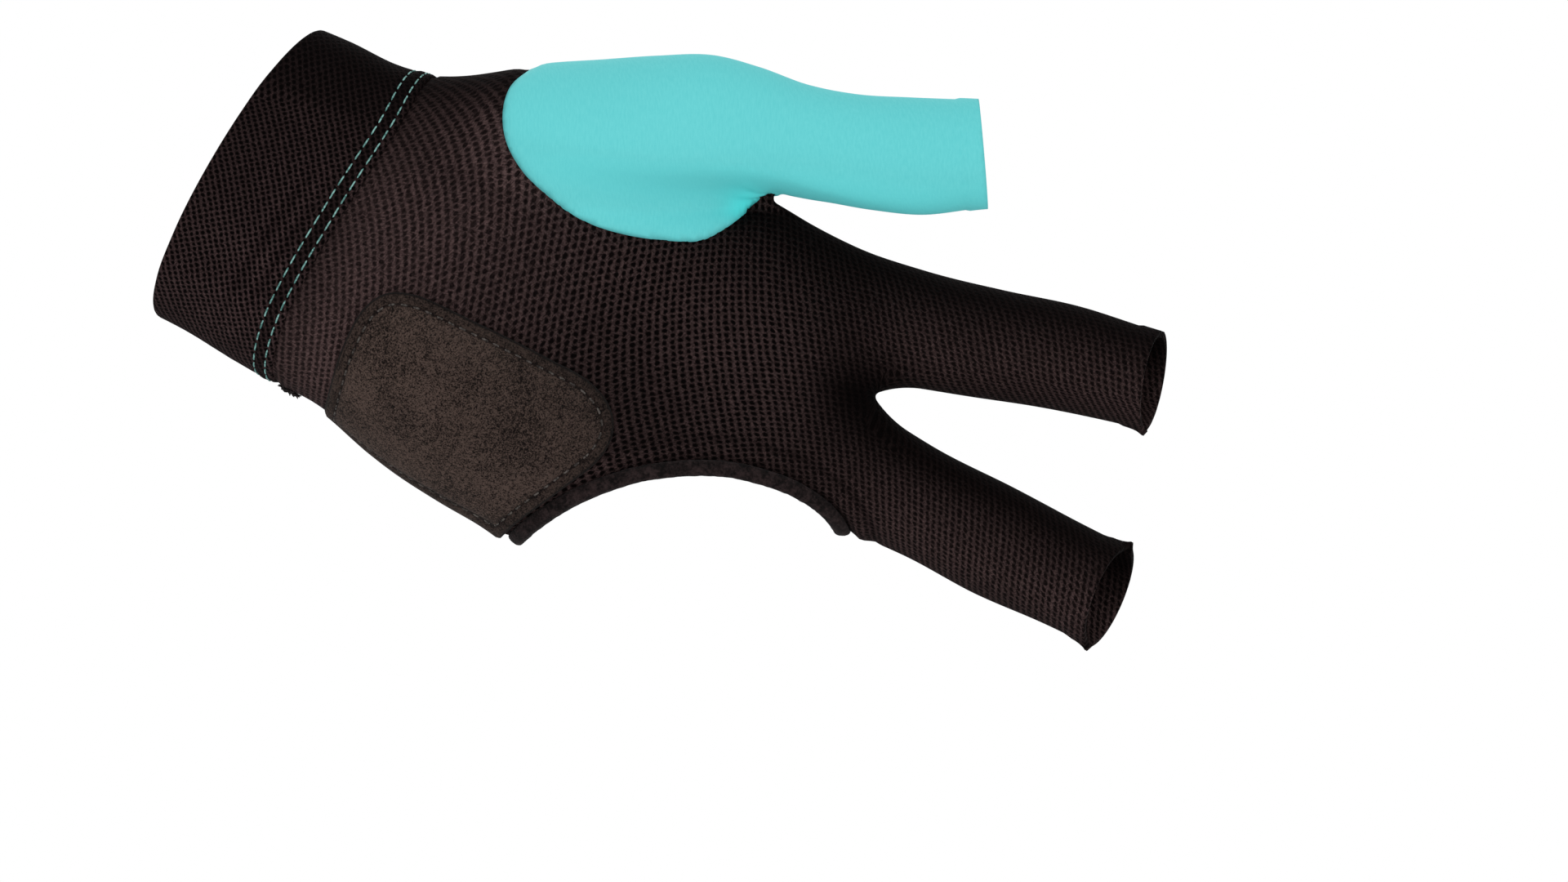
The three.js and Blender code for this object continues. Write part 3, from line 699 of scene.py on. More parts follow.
def moved_onto(sheet, border, keep):
    """Border points after a few steps down the slope of keep, each measured by two small probes."""
    x, t = sheet["x"][border], sheet["t"][border]
    on_seam = (t < TINY) | (t > 1 - TINY)
    here = sheet["points"][border]
    for _ in range(ROUNDS):
        value = keep(here)
        probe_t = np.where(t + PROBE_T > 1, -PROBE_T, PROBE_T)
        along = place(sheet, border, x + PROBE_X, t) - here
        over = place(sheet, border, x, t + np.where(on_seam, 0, probe_t)) - here
        size_x = np.linalg.norm(along, axis=1) / PROBE_X
        size_t = np.maximum(np.linalg.norm(over, axis=1) / PROBE_T, INSIDE_RIM)
        slope_x = (keep(here + along) - value) / PROBE_X / size_x
        slope_t = np.where(on_seam, 0, (keep(here + over) - value) / probe_t) / size_t
        needed = value / np.maximum(slope_x**2 + slope_t**2, FLATTEST)
        x = x - np.clip(needed * slope_x, -LONGEST_MOVE, LONGEST_MOVE) / size_x
        stepped = t - np.clip(needed * slope_t, -LONGEST_MOVE, LONGEST_MOVE) / size_t
        t = np.where(on_seam, t, np.clip(stepped, INSIDE_RIM, 1 - INSIDE_RIM))
        here = place(sheet, border, x, t)
    return here


def cut(sheet, keep):
    """The part of a sheet where keep(points) is positive, its border moved onto keep = 0."""
    points, quads = sheet["points"].copy(), sheet["quads"]
    kept = keep(points[quads].mean(1)) > 0
    border = np.intersect1d(quads[kept], quads[~kept])
    points[border] = moved_onto(sheet, border, keep)
    moved = points - sheet["points"]
    shift = np.stack([moved[:, 0], np.sign(moved[:, 2]) * np.hypot(moved[:, 1], moved[:, 2])], 1)
    used, which = np.unique(quads[kept], return_inverse=True)
    return {
        "points": points[used],
        "side": sheet["side"][used],
        "corner_cloth": (sheet["corner_cloth"] + shift[quads])[kept],
        "quads": which.reshape(-1, 4),
    }


print("a border point moves at most", ROUNDS * LONGEST_MOVE, "mm")

# %% [markdown]
# ## Lines on the glove
# The seams and edges are drawn as few points as they need, in the palm plane, and a smooth line is led
# through them. Its knots stand apart by the square root of the distance between points, which keeps the line
# from looping.

# %% Smooth lines


def smooth_line(rows, step=1.0):
    """A centripetal Catmull-Rom line through (x, z) points, in steps of about the given length.

    Between two points it is a mix of mixes: three straight lines, then two bends, then one curve.
    """
    p = np.array(rows, float)
    p = np.vstack([2 * p[0] - p[1], p, 2 * p[-1] - p[-2]])
    knots = np.concatenate([[0], np.cumsum(np.linalg.norm(np.diff(p, axis=0), axis=1) ** 0.5)])
    pieces = []
    for i in range(1, len(p) - 2):
        count = max(int(np.linalg.norm(p[i + 1] - p[i]) / step), 2)
        t = np.linspace(knots[i], knots[i + 1], count, endpoint=False)[:, None]
        near = p[i - 1 : i + 3]
        k = knots[i - 1 : i + 3]
        lines = [mix(near[n], near[n + 1], (t - k[n]) / (k[n + 1] - k[n])) for n in range(3)]
        bends = [mix(lines[n], lines[n + 1], (t - k[n]) / (k[n + 2] - k[n])) for n in range(2)]
        pieces.append(mix(bends[0], bends[1], (t - k[1]) / (k[2] - k[1])))
    return np.vstack(pieces + [p[-2:-1]])


def move_sideways(line, distance):
    """The line moved to the left of its running direction."""
    run = np.gradient(line, axis=0)
    run /= np.linalg.norm(run, axis=1, keepdims=True)
    return line + distance * np.stack([-run[:, 1], run[:, 0]], 1)


def inside_of(corners, p):
    """Signed distance to a closed outline in the palm plane, positive inside it.

    The distance is the least to any side. A point is inside if a line from it crosses an odd number of sides.
    """
    start, end = corners, np.roll(corners, -1, axis=0)
    edge = end - start
    x, z = p[..., 0].ravel()[:, None], p[..., 2].ravel()[:, None]
    from_x, from_z = x - start[:, 0], z - start[:, 1]
    share = (from_x * edge[:, 0] + from_z * edge[:, 1]) / np.maximum((edge**2).sum(1), NEARLY_ZERO)
    share = np.clip(share, 0, 1)
    gap = np.hypot(from_x - share * edge[:, 0], from_z - share * edge[:, 1]).min(1)
    crosses = (start[:, 1] > z) != (end[:, 1] > z)
    rise = np.where(np.abs(edge[:, 1]) < NEARLY_ZERO, NEARLY_ZERO, edge[:, 1])
    reached = x < start[:, 0] + from_z * edge[:, 0] / rise
    within = (crosses & reached).sum(1) % 2 == 1
    return np.where(within, gap, -gap).reshape(p.shape[:-1])


print("a line through three points:", len(smooth_line([[0, 0], [5, 5], [10, 0]])), "steps")

# %% Courses of the seams and edges
CUFF_SEAM_LEAN = 0.2
CUFF_SEAM = table(
    "x z",
    [21.5, -90],
    [21.6, -37],
    [23.3, -22],
    [27.6, 0],
    [30.8, 18],
    [30.8, 30],
    [30.8, 90],
)
LOBE_SEAM = [
    [56.0, 56.0], [50.5, 43.5], [47.2, 38.4], [44.9, 33.8], [45.3, 28.2],
    [48.0, 22.8], [53.0, 18.4], [60.0, 15.3], [68.0, 13.4], [76.0, 13.6],
    [84.5, 15.4], [90.8, 17.8], [94.6, 22.0], [97.6, 27.0], [100.6, 30.8],
    [105.0, 31.0], [112.0, 31.0], [122.0, 31.5], [136.0, 34.5], [170.0, 38.0],
]
BEYOND_LOBE = [[170, 110], [56, 110]]
OPENING_EDGE = [
    [74.0, -60.0], [76.6, -53.5], [79.8, -47.2], [85.0, -40.2], [90.0, -35.4],
    [95.0, -31.5], [100.0, -28.6], [106.0, -25.9], [112.0, -24.1],
    [118.0, -23.4], [124.0, -23.4], [129.5, -24.6], [133.0, -26.2],
    [136.0, -28.8], [138.5, -33.0],
]
BEYOND_OPENING = [[140, -90], [70, -90]]
PATCH_EDGE = [
    [33.4, -56.0], [32.6, -38.0], [32.2, -25.0], [33.6, -17.0], [36.5, -13.2],
    [41.5, -11.6], [54.0, -12.5], [69.5, -14.3], [79.5, -16.0], [84.8, -19.2],
    [87.2, -23.6], [86.6, -29.2], [81.2, -38.0], [75.4, -46.8], [71.0, -56.0],
]
# Ends of the cloth: a station on the middle line, and how it leans with the place across and in depth
WRIST_EDGE = {"at": 0.27, "per_z": 0.176, "per_y": 0.25}
INDEX_END = {"at": 188.4, "per_z": -0.17, "per_y": 0.24}
MIDDLE_END = {"at": 192.4, "per_z": 0.05, "per_y": 0.32}
THUMB_END = {"at": 161.6, "per_z": -0.467, "per_y": 0.0}
FINGERS_PART = 1.5

LOBE_OUTLINE = np.vstack([smooth_line(LOBE_SEAM), BEYOND_LOBE])
PATCH_OUTLINE = smooth_line(PATCH_EDGE)
OPENING_LINE = smooth_line(OPENING_EDGE)
print("opening edge", len(OPENING_LINE), "points")

# %% Distances from the seams and edges


def end_station(end, p):
    return end["at"] + end["per_z"] * p[..., 2] + end["per_y"] * p[..., 1]


def seam_station(p):
    return CUFF_SEAM_LEAN * p[..., 1] + curve(CUFF_SEAM, "x", p[..., 2], key="z")


def beyond_cuff_seam(p):
    """Distance past the cuff's palm seam, towards the fingers."""
    return p[..., 0] - seam_station(p)


def before_end(end, p):
    """Distance still to go to the end of a sleeve."""
    return end_station(end, p) - p[..., 0]


def before_finger_end(p):
    return np.where(p[..., 2] > FINGERS_PART, before_end(INDEX_END, p), before_end(MIDDLE_END, p))


def in_thumb_lobe(p):
    return inside_of(LOBE_OUTLINE, p)


def in_opening(p, grow):
    """Distance inside the opening for ring and little finger, its edge moved outwards by grow."""
    return inside_of(np.vstack([move_sideways(OPENING_LINE, grow), BEYOND_OPENING]), p)


def in_patch(p):
    return inside_of(PATCH_OUTLINE, p)


web_place = np.array([THUMB_WEB[0], 0.0, THUMB_WEB[1]])
print("the thumb's web lies", (-in_thumb_lobe(web_place)).round(1), "mm outside the thumb's lobe")

# %% [markdown]
# ## Making meshes
# Every piece ends in the same helper: points in millimetres, faces, UV maps by name, smooth shading, and the
# calls that tie the piece to the frame. A sheet gets its wall from a Solidify modifier, inwards, so that the
# outer surface stays where the form puts it.

# %% Mesh helper


def add_piece(name, points, faces, slot, node=None, **maps):
    """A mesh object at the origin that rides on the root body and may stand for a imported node.

    Each further name is a UV map, given as a pair of values per corner of each face.
    """
    mesh = bpy.data.meshes.new(name)
    mesh.from_pydata((np.asarray(points) * MM).tolist(), [], [list(face) for face in faces])
    mesh.polygons.foreach_set("use_smooth", np.ones(len(mesh.polygons), bool))
    for title, pairs in maps.items():
        layer = mesh.uv_layers.new(name=title)
        layer.data.foreach_set("uv", np.asarray(pairs, np.float32).ravel())
    mesh.update()
    piece = bpy.data.objects.new(name, mesh)
    bpy.context.scene.collection.objects.link(piece)
    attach(piece, "root")
    if node:
        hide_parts(node)
    print(name, len(mesh.vertices), "points", len(mesh.polygons), "faces")
    return piece


def raised(sheet, lift):
    """The sheet's points moved outwards by lift(points), in millimetres."""
    points = sheet["points"]
    return points + away(points, sheet["side"]) * lift(points)[:, None]


def as_pairs(first, second, faces):
    """Two values per point as a UV map, at the corners of faces."""
    return np.stack([np.asarray(first)[faces], np.asarray(second)[faces]], -1)


def thicken(piece, wall):
    """Gives a sheet its wall, inwards."""
    solid = piece.modifiers.new("wall", "SOLIDIFY")
    solid.thickness = wall * MM
    solid.offset = -1.0
    solid.use_even_offset = False


# %% [markdown]
# ## Painted light and shade on the knit
# The dark cloth is lighter on the heel of the hand and towards the little finger, and darkest in the fork of
# the fingers. Lamps alone can't show this on matte black, so painted light and shade is worked out for each
# point, from how the cloth faces a light from the lower left and front, from its place along the hand and in
# the fork, and goes into a UV map.

# %% Painted light and shade of the dark cloth
# Painted light: cloth that faces this direction is lighter
PAINTED_LIGHT_FROM = np.array([-0.34, -0.74, -0.58])
LIT_POWER = 1.8
UNLIT_TONE = 0.10
LEAST_TONE = 0.02
# Painted light along the hand: a share of full brightness at each station
PAINTED_LIGHT_ALONG = table(
    "x share",
    [-10, 0.5],
    [22, 0.6],
    [30, 0.93],
    [50, 0.98],
    [95, 0.62],
    [125, 0.46],
    [200, 0.54],
)
# Painted shade in the fork of the fingers
FORK_BEFORE_WEB = 2.0
FORK_REACH = 8.0
FORK_PAINTED_SHADE = 0.7


def painted_light(p, side):
    """Painted light and shade as a share of full brightness: by the slope of the cloth, less from wrist to
    fingers, and in the fork.
    """
    out = away(p, side)
    facing = np.stack([out[..., 0], -np.abs(out[..., 1]), out[..., 2]], -1)
    lit = np.clip(facing @ PAINTED_LIGHT_FROM, 0, 1) ** LIT_POWER
    along = np.interp(p[..., 0], PAINTED_LIGHT_ALONG["x"], PAINTED_LIGHT_ALONG["share"])
    near_web = bump(p[..., 0], FINGER_WEB[0] - FORK_BEFORE_WEB, FORK_REACH)
    fork = near_web * bump(p[..., 2], FINGER_WEB[1], FORK_REACH)
    return np.clip(mix(UNLIT_TONE, 1.0, lit) * along * (1 - FORK_PAINTED_SHADE * fork), LEAST_TONE, 1)


heel_and_fork = np.array([[40.0, -20.0, -20.0], [130.0, -12.0, 1.0]])
print("tone at the heel and in the fork:", painted_light(heel_and_fork, PALM_SIDE).round(2))

# %% [markdown]
# ## Counting the knit
# The holes of the knit stand in columns and rows that spread and slant with the stretch of the cloth. A table
# gives, for stations along the middle, how many columns and rows have gone by, and how both change across the
# cloth. A whole number in the map is a hole, and the finish draws it there.

# %% Count of columns and rows
KNIT = table(
    "x columns column_slant column_bow rows row_slant row_bow",
    [8, -9.0, 0.36, 0.34, 9.6, 0.90, 0.0],
    [24, 0.0, 0.32, 0.30, 0.0, 0.78, 0.0],
    [50, 15.2, 0.15, 0.16, -15.8, 0.54, 0.0],
    [75, 31.7, 0.13, -0.13, -25.9, 0.62, 0.0],
    [100, 47.4, 0.27, -0.15, -35.9, 0.77, -0.11],
    [120, 59.3, 0.33, 0.02, -41.0, 0.92, -0.12],
    [140, 72.2, 0.33, 0.14, -44.1, 1.00, -0.08],
    [160, 86.2, 0.27, 0.14, -44.8, 0.94, -0.02],
    [190, 107.9, 0.22, 0.14, -42.6, 0.75, 0.04],
    [208, 121.0, 0.22, 0.14, -41.3, 0.75, 0.04],
)


def knit_count(cloth):
    """Columns and rows of the knit at cloth coordinates: along(x) + slant(x) * s + bow(x) * s ** 2 / 100."""
    x, s = cloth[..., 0], cloth[..., 1]
    counts = []
    for along, slant, bow in (("columns", "column_slant", "column_bow"), ("rows", "row_slant", "row_bow")):
        counts.append(curve(KNIT, along, x) + curve(KNIT, slant, x) * s + curve(KNIT, bow, x) * s * s / 100)
    return np.stack(counts, -1)


print("columns from cuff to sleeve end:", round(float(KNIT["columns"][-1] - KNIT["columns"][1])))

# %% [markdown]
# ## Knitted panels
# Palm and back are cut from one mesh cloth and sewn along the sides. A glove like this is not a simulated
# drape: it is stretched tight over the hand, so its surface is the hand's form, and only seams and hems
# depart from it. The sheet dips into the side seam, the lobe seam and the groove beside the tape, and is
# raised where the sleeve ends are folded into a hem.

# %% Relief of seams and hems
PANEL_WALL = 1.2
TAPE_WIDTH = 3.2
TUCK = 0.7
HEM_RISE = 0.28
HEM_FULL = 4.0
HEM_GONE = 4.8
# Depth and reach of the dips beside each seam
SIDE_DIP = (0.4, 0.7)
LOBE_DIP = (0.7, 1.0)
CUFF_DIP = (0.6, 0.7)
TAPE_DIP = (0.7, 0.7)
SLEEVE_DIP = (0.75, 0.9)
# Beside the tape: the ridge of cloth folded back, then a shallow groove; and how much painted shade darkens
# the grooves
TURNED_EDGE = table("at reach rise", [1.9, 1.1, 0.5], [4.2, 0.6, -0.22])
GROOVE_SHADE = table("at reach rise", [0.0, 0.8, 0.7], [4.2, 0.6, 0.49])


def bumps(rows, value):
    """Sum of a table's bumps, each rise * bump(value, at, reach)."""
    return sum(rise * bump(value, at, reach) for at, reach, rise in zip(*rows.values()))


def dip(distance, depth, reach):
    """A rounded dip beside a seam: -depth at the seam and beyond it, fading as a bump does."""
    return -depth * bump(np.maximum(distance, 0), 0.0, reach)


def hem(to_end):
    """The cloth folded under at a sleeve's end."""
    return HEM_RISE * (1 - ease(HEM_FULL, HEM_GONE, to_end))


print("hem rises", HEM_RISE, "mm over", HEM_FULL, "mm")

# %% Panels
FLARE = {"rise": 1.3, "round_seam": 1.8, "along": 1.7}
FLARED_BELOW = 24.0
PANEL_START = 15.0
# How open the knit is along the hand, from cuff to sleeves
OPENNESS = table("x share", [28, 0.72], [55, 0.82], [80, 1.0], [112, 1.0], [140, 0.85])


def panel_keep(p):
    """Beyond the cuff seam, outside the thumb's lobe and the opening, and before the sleeve ends."""
    kept = np.minimum(beyond_cuff_seam(p) + TUCK, TUCK - in_thumb_lobe(p))
    kept = np.minimum(kept, -in_opening(p, TAPE_WIDTH - TUCK))
    return np.minimum(kept, before_finger_end(p))


def panel_lift(p):
    """Dips at the three seams and the tape, the turned edge, the hem, and its corners that curl outwards."""
    from_tape = -in_opening(p, TAPE_WIDTH)
    to_end = before_finger_end(p)
    lift = dip(seam_distance(p), *SIDE_DIP)
    lift += dip(-in_thumb_lobe(p), *LOBE_DIP)
    lift += dip(beyond_cuff_seam(p), *CUFF_DIP)
    lift += dip(from_tape, *TAPE_DIP) + bumps(TURNED_EDGE, from_tape)
    by_seam = bump(seam_distance(p), 0.0, FLARE["round_seam"])
    corner = by_seam * np.exp(-np.maximum(to_end, 0) / FLARE["along"])
    return lift + hem(to_end) + FLARE["rise"] * corner * (p[..., 2] < FLARED_BELOW)


def panel(name, side, node):
    """One side of the mesh glove: cut, raised, with the knit's count and shade as UV maps, and a wall."""
    sheet = cut(hand_sheet([side], PANEL_START), panel_keep)
    points, quads = sheet["points"], sheet["quads"]
    openness = np.interp(points[:, 0], OPENNESS["x"], OPENNESS["share"])
    # Painted light and shade of the knit, with painted shade in the grooves beside the tape
    shaded = painted_light(points, side) * (1 - bumps(GROOVE_SHADE, -in_opening(points, TAPE_WIDTH)))
    knit_map = knit_count(sheet["corner_cloth"])
    shade = as_pairs(shaded, openness, quads)
    piece = add_piece(name, raised(sheet, panel_lift), quads, "panel_mesh", node, knit=knit_map, shade=shade)
    thicken(piece, PANEL_WALL)
    return piece


palm = panel("palm_cloth", PALM_SIDE, "palm_panel")
backside = panel("back_cloth", BACK_SIDE, "back_panel")

# %% [markdown]
# ## Thumb sleeve
# Smooth stretch cloth wraps the thumb and ends in an oval lobe on the palm, and in the same lobe on the back.
# It is one piece with no side seam over the top. Its edge rolls under into the lobe seam, and a fan of small
# wrinkles leaves the web. Over the hollow beside the palm, where the cloth slopes down, its colour is made
# lighter: painted light over the shade that falls there.

# %% Thumb sleeve
SLEEVE_RAISE = 0.15
WRINKLES = 19.0
WRINKLE_HEIGHT = 0.22
FAN = {"direction": -0.35, "spread": 0.45, "from_web": 5.0, "reach": 3.0}
FLAT_AT_WEB = (-1.0, 2.0)
# Painted light on the sleeve's down-facing slopes: its largest share, and the slopes over which it grows
MOST_PAINTED_LIGHT = 0.5
PAINTED_LIGHT_SLOPES = (0.3, 0.9)


def sleeve_keep(p):
    kept = np.minimum(in_thumb_lobe(p), before_end(THUMB_END, p))
    return np.minimum(kept, beyond_cuff_seam(p))


def sleeve_lift(p):
    """Raised a little, rolled under at its edge, flat at the web, with a hem and with a sine's wrinkles."""
    along, over = THUMB_WEB[0] - p[..., 0], p[..., 2] - THUMB_WEB[1]
    web_gap = np.hypot(along, over)
    direction = np.arctan2(over, along)
    fan = bump(direction, FAN["direction"], FAN["spread"]) * bump(web_gap, FAN["from_web"], FAN["reach"])
    lift = (SLEEVE_RAISE + dip(in_thumb_lobe(p), *SLEEVE_DIP)) * ease(*FLAT_AT_WEB, web_gap)
    return lift + hem(before_end(THUMB_END, p)) + WRINKLE_HEIGHT * fan * np.sin(WRINKLES * direction)


def thumb_sleeve():
    """The stretch sleeve, with its cloth coordinates and its painted light on down-facing slopes as UV maps.
    """
    whole = hand_sheet([PALM_SIDE, BACK_SIDE], start=35.0, end=147.0, strips=("thumb", "index"))
    sheet = cut(whole, sleeve_keep)
    slope_down = -away(sheet["points"], sheet["side"])[:, 2]
    # Painted light on the palm side's down-facing slopes, over the shade that falls there
    stretched = MOST_PAINTED_LIGHT * ease(*PAINTED_LIGHT_SLOPES, slope_down) * (sheet["side"] == PALM_SIDE)
    piece = add_piece(
        "thumb_cloth",
        raised(sheet, sleeve_lift),
        sheet["quads"],
        "thumb_stretch",
        "thumb_sleeve",
        cloth=sheet["corner_cloth"],
        stretched=as_pairs(stretched, stretched, sheet["quads"]),
    )
    thicken(piece, PANEL_WALL)
    return piece


sleeve = thumb_sleeve()

# %% [markdown]
# ## Heel patch
# A suede pad lies on the heel of the hand. It is a local, finer sheet of the same form, raised by its
# thickness, puffed a little inside its row of stitches, and sunk along that row. A cushion would be inflated
# by a cloth simulation, but this pad is thin and sewn flat, so a formula gives its whole form.

# %% Heel patch
PATCH_THICKNESS = 1.3
PATCH_RAISE = 0.3
STITCH_INSET = 2.4
SEAM_ROW_DEPTH = 5.2
ROLL_DEPTH = 0.6
GROOVE_DEPTH = 0.4
GROOVE_REACH = 0.45
PUFF = {"rise": 0.55, "over": 3.0}
SEWN_DOWN = {"depth": 1.3, "from_seam": 4.0, "full": 32.0, "gone": 44.0}
# Painted light across the patch: lighter towards the wrist and the little finger's side
PATCH_PAINTED_LIGHT = {"start": 1.03, "per_x": 0.006, "per_z": 0.008}


def patch_border(p):
    """Distance to the patch's edge, scaled along the side seam so that the row of stitches can be seen."""
    return np.minimum(in_patch(p), seam_distance(p) * STITCH_INSET / SEAM_ROW_DEPTH)


def patch_lift(p):
    """Height over the form: its thickness, puffed inside the stitches, sunk along them and at its rim.

    Its lower corner by the cuff is sewn down flat into the side seam.
    """
    border = patch_border(p)
    puff = PUFF["rise"] * (1 - np.exp(-np.maximum(border - STITCH_INSET, 0) / PUFF["over"]))
    roll = dip(border, ROLL_DEPTH, GROOVE_REACH)
    groove = -GROOVE_DEPTH * bump(border, STITCH_INSET, GROOVE_REACH)
    before_cuff = 1 - ease(SEWN_DOWN["full"], SEWN_DOWN["gone"], p[..., 0])
    sewn_down = -SEWN_DOWN["depth"] * np.exp(-seam_distance(p) / SEWN_DOWN["from_seam"]) * before_cuff
    return PATCH_RAISE + PATCH_THICKNESS + puff + roll + groove + sewn_down


def heel_patch():
    """The suede pad, with its painted light and the distance to its edge as a UV map."""
    whole = hand_sheet([PALM_SIDE], start=28.0, end=92.0, step=0.5, strips=("middle",), finer=1.6)
    sheet = cut(whole, in_patch)
    points, quads = sheet["points"], sheet["quads"]
    painted_patch_light = np.clip(PATCH_PAINTED_LIGHT["start"] - PATCH_PAINTED_LIGHT["per_x"] * points[:, 0] - PATCH_PAINTED_LIGHT["per_z"] * points[:, 2], 0, 1)
    edge = as_pairs(painted_patch_light, patch_border(points), quads)
    piece = add_piece("patch_suede", raised(sheet, patch_lift), quads, "patch_suede", "palm_patch", edge=edge)
    thicken(piece, PATCH_THICKNESS)
    return piece


patch = heel_patch()

# %% [markdown]
# ## Wrist cuff
# The cuff is a band of two layers, folded at the wrist. Its section is a closed profile: out over the outer
# layer, round the fold and back along the inner layer. It is carried once round the wrist. Near the palm seam
# the profile has a low ridge between the two rows of stitches, and a few soft folds lie beside the seam.

# %% Ring round the wrist
RING_POINTS = {"thumb": 26, "index": 22, "middle": 60}
SETTLING = 8


def ring_parameters(counts):
    """Strip number, side and share for points once round the hand, palm side first."""
    order = [(strip, PALM_SIDE) for strip in NAMES] + [(strip, BACK_SIDE) for strip in reversed(NAMES)]
    strips, sides, shares = [], [], []
    for strip, side in order:
        share = np.linspace(0, 1, counts[strip], endpoint=False)
        strips.append(np.full(len(share), NAMES.index(strip)))
        sides.append(np.full(len(share), side))
        shares.append(share if side == PALM_SIDE else 1 - share)
    return {"strip": np.concatenate(strips), "side": np.concatenate(sides), "t": np.concatenate(shares)}


def ring_points(x):
    """Points of the cuff's ring at stations x, given for one row of the ring or for many."""
    picked = np.broadcast_to(np.arange(len(cuff_ring["t"])), x.shape).ravel()
    return place(cuff_ring, picked, x.ravel(), cuff_ring["t"][picked]).reshape(*x.shape, 3)


def settle(station_of, start):
    """Stations of the ring that fit a rule which also reads their height and depth, by repetition."""
    x = np.full(len(cuff_ring["t"]), start)
    for _ in range(SETTLING):
        x = station_of(ring_points(x))
    return x


cuff_ring = ring_parameters(RING_POINTS)
cuff_from = settle(lambda p: end_station(WRIST_EDGE, p), 0.0)
cuff_to = settle(seam_station, 25.0)
print("cuff from", cuff_from.min().round(1), "to", cuff_to.max().round(1), "mm")

# %% Cuff profile
CUFF_WALL = 2.0
CUFF_RAISE = 0.3
ROW_TWO = 1.4
ROW_ONE = 3.9
RIDGE = (ROW_ONE + ROW_TWO) / 2
OUTER_ROWS = 44
FOLD_ROWS = 9
INNER_ROWS = 12
FOLD_REACH = 1.0
SEAM_GAP = 0.1
CUFF_RELIEF = table(
    "at reach rise",
    [ROW_TWO, 0.4, -0.22],
    [ROW_ONE, 0.4, -0.22],
    [RIDGE, 0.8, 0.18],
    [0.0, 0.6, -0.45],
)
CUFF_FOLDS = table(
    "at reach rise",
    [6.6, 0.8, -0.40],
    [8.4, 1.2, 0.34],
    [10.8, 0.9, -0.36],
    [12.8, 1.4, 0.2],
)
FOLDS_AT = -11.0
FOLDS_REACH = 15.0
FOLDS_SLANT = 0.06


def fold_height(p, to_seam):
    """Soft folds beside the seam, only on the palm side: the table's bumps, slanting across the cuff."""
    near = bump(p[..., 2], FOLDS_AT, FOLDS_REACH) * (cuff_ring["side"] == PALM_SIDE)
    return near * bumps(CUFF_FOLDS, to_seam + FOLDS_SLANT * (p[..., 2] - FOLDS_AT))


def cuff_profile():
    """Stations and heights over the form, by rows: outer layer, fold, inner layer back to the seam."""
    top, low = CUFF_RAISE, CUFF_RAISE - CUFF_WALL
    by_seam, by_fold = cuff_to - SEAM_GAP, cuff_from + FOLD_REACH
    outer = mix(by_seam, by_fold, np.linspace(0, 1, OUTER_ROWS)[:, None])
    turn = np.linspace(np.pi / 2, 3 * np.pi / 2, FOLD_ROWS)[1:-1, None]
    fold = by_fold + FOLD_REACH * np.cos(turn)
    inner = mix(by_seam, by_fold, np.linspace(1, 0, INNER_ROWS)[:, None])
    outer_lift = top + bumps(CUFF_RELIEF, cuff_to - outer) + fold_height(ring_points(outer), cuff_to - outer)
    fold_lift = (top + low) / 2 + np.sin(turn) * (top - low) / 2
    lifts = [outer_lift, np.broadcast_to(fold_lift, fold.shape), np.full(inner.shape, low)]
    return np.concatenate([outer, fold, inner]), np.concatenate(lifts)


cuff_x, cuff_lift = cuff_profile()
print("cuff profile:", cuff_x.shape[0], "rows of", cuff_x.shape[1], "points")

# %% Cuff
CUFF_KNIT = np.array([[0.76, 0.36], [-0.49, 0.73]])
RIDGE_SHADE = 0.55
RIDGE_BREADTH = 1.5
FOLD_SHADE = 0.9
FOLD_SHADE_LIMITS = (0.5, 1.25)


def cuff_painted_light(p):
    """Painted light and shade of the cuff: darker between the rows of stitches, with painted light on the
    crests of the folds and painted shade in their hollows.
    """
    to_seam = cuff_to - cuff_x
    between_rows = np.exp(-(((to_seam - RIDGE) / RIDGE_BREADTH) ** 4))
    # Painted light on the crests of the folds and painted shade in their hollows
    folded = np.clip(1 + FOLD_SHADE * fold_height(p, to_seam), *FOLD_SHADE_LIMITS)
    return painted_light(p, cuff_ring["side"]) * (1 - RIDGE_SHADE * between_rows) * folded


def cuff_count(points, quads):
    """The knit's count on the cuff: its station and the length round the wrist, turned and scaled."""
    around = len(cuff_from)
    first_row = points[:around]
    run = np.cumsum(np.linalg.norm(np.roll(first_row, -1, axis=0) - first_row, axis=1))
    before = np.append(0.0, run[:-1])
    on_middle = (cuff_ring["strip"] == NAMES.index("middle")) & (cuff_ring["side"] == PALM_SIDE)
    finger_line = before[np.argmax(on_middle)]
    column = quads % around
    wraps = (column == 0) & (column[:, :1] == around - 1)
    s = finger_line - np.where(wraps, run[-1], before[column])
    return np.stack([points[quads][..., 0], s], -1) @ CUFF_KNIT.T


def wrist_cuff():
    """The closed profile carried round the wrist."""
    p = ring_points(cuff_x)
    points = (p + away(p, cuff_ring["side"]) * cuff_lift[..., None]).reshape(-1, 3)
    quads = grid_faces(*cuff_x.shape, close_rows=True, close_columns=True)[:, [0, 3, 2, 1]]
    shade = as_pairs(cuff_painted_light(p).ravel(), np.ones(len(points)), quads)
    knit_map = cuff_count(points, quads)
    return add_piece("cuff_cloth", points, quads, "cuff_mesh", "wrist_cuff", knit=knit_map, shade=shade)


cuff = wrist_cuff()

# %% [markdown]
# ## Tape round the opening
# The opening for the ring and little fingers is bound with a soft tape. A tube carried along the edge, once
# round, gives the roll; its section is wider than it is thick, and a little unevenness makes it look fuzzy.
# Where it crosses the side seams it is pressed thinner.

# %% Course of the tape
DRAWING_STEP = 0.4
SMOOTHING = 6


def unit(directions):
    """Directions with their length made one."""
    return directions / np.maximum(np.linalg.norm(directions, axis=-1, keepdims=True), TINY)


def running_length(points):
    """Length along a line of points, from zero at its first."""
    return np.concatenate([[0], np.cumsum(np.linalg.norm(np.diff(points, axis=0), axis=1))])


def at_length(places, run, values):
    """Each column of values, given at the lengths run, at other places along the line."""
    return np.stack([np.interp(places, run, column) for column in values.T], -1)


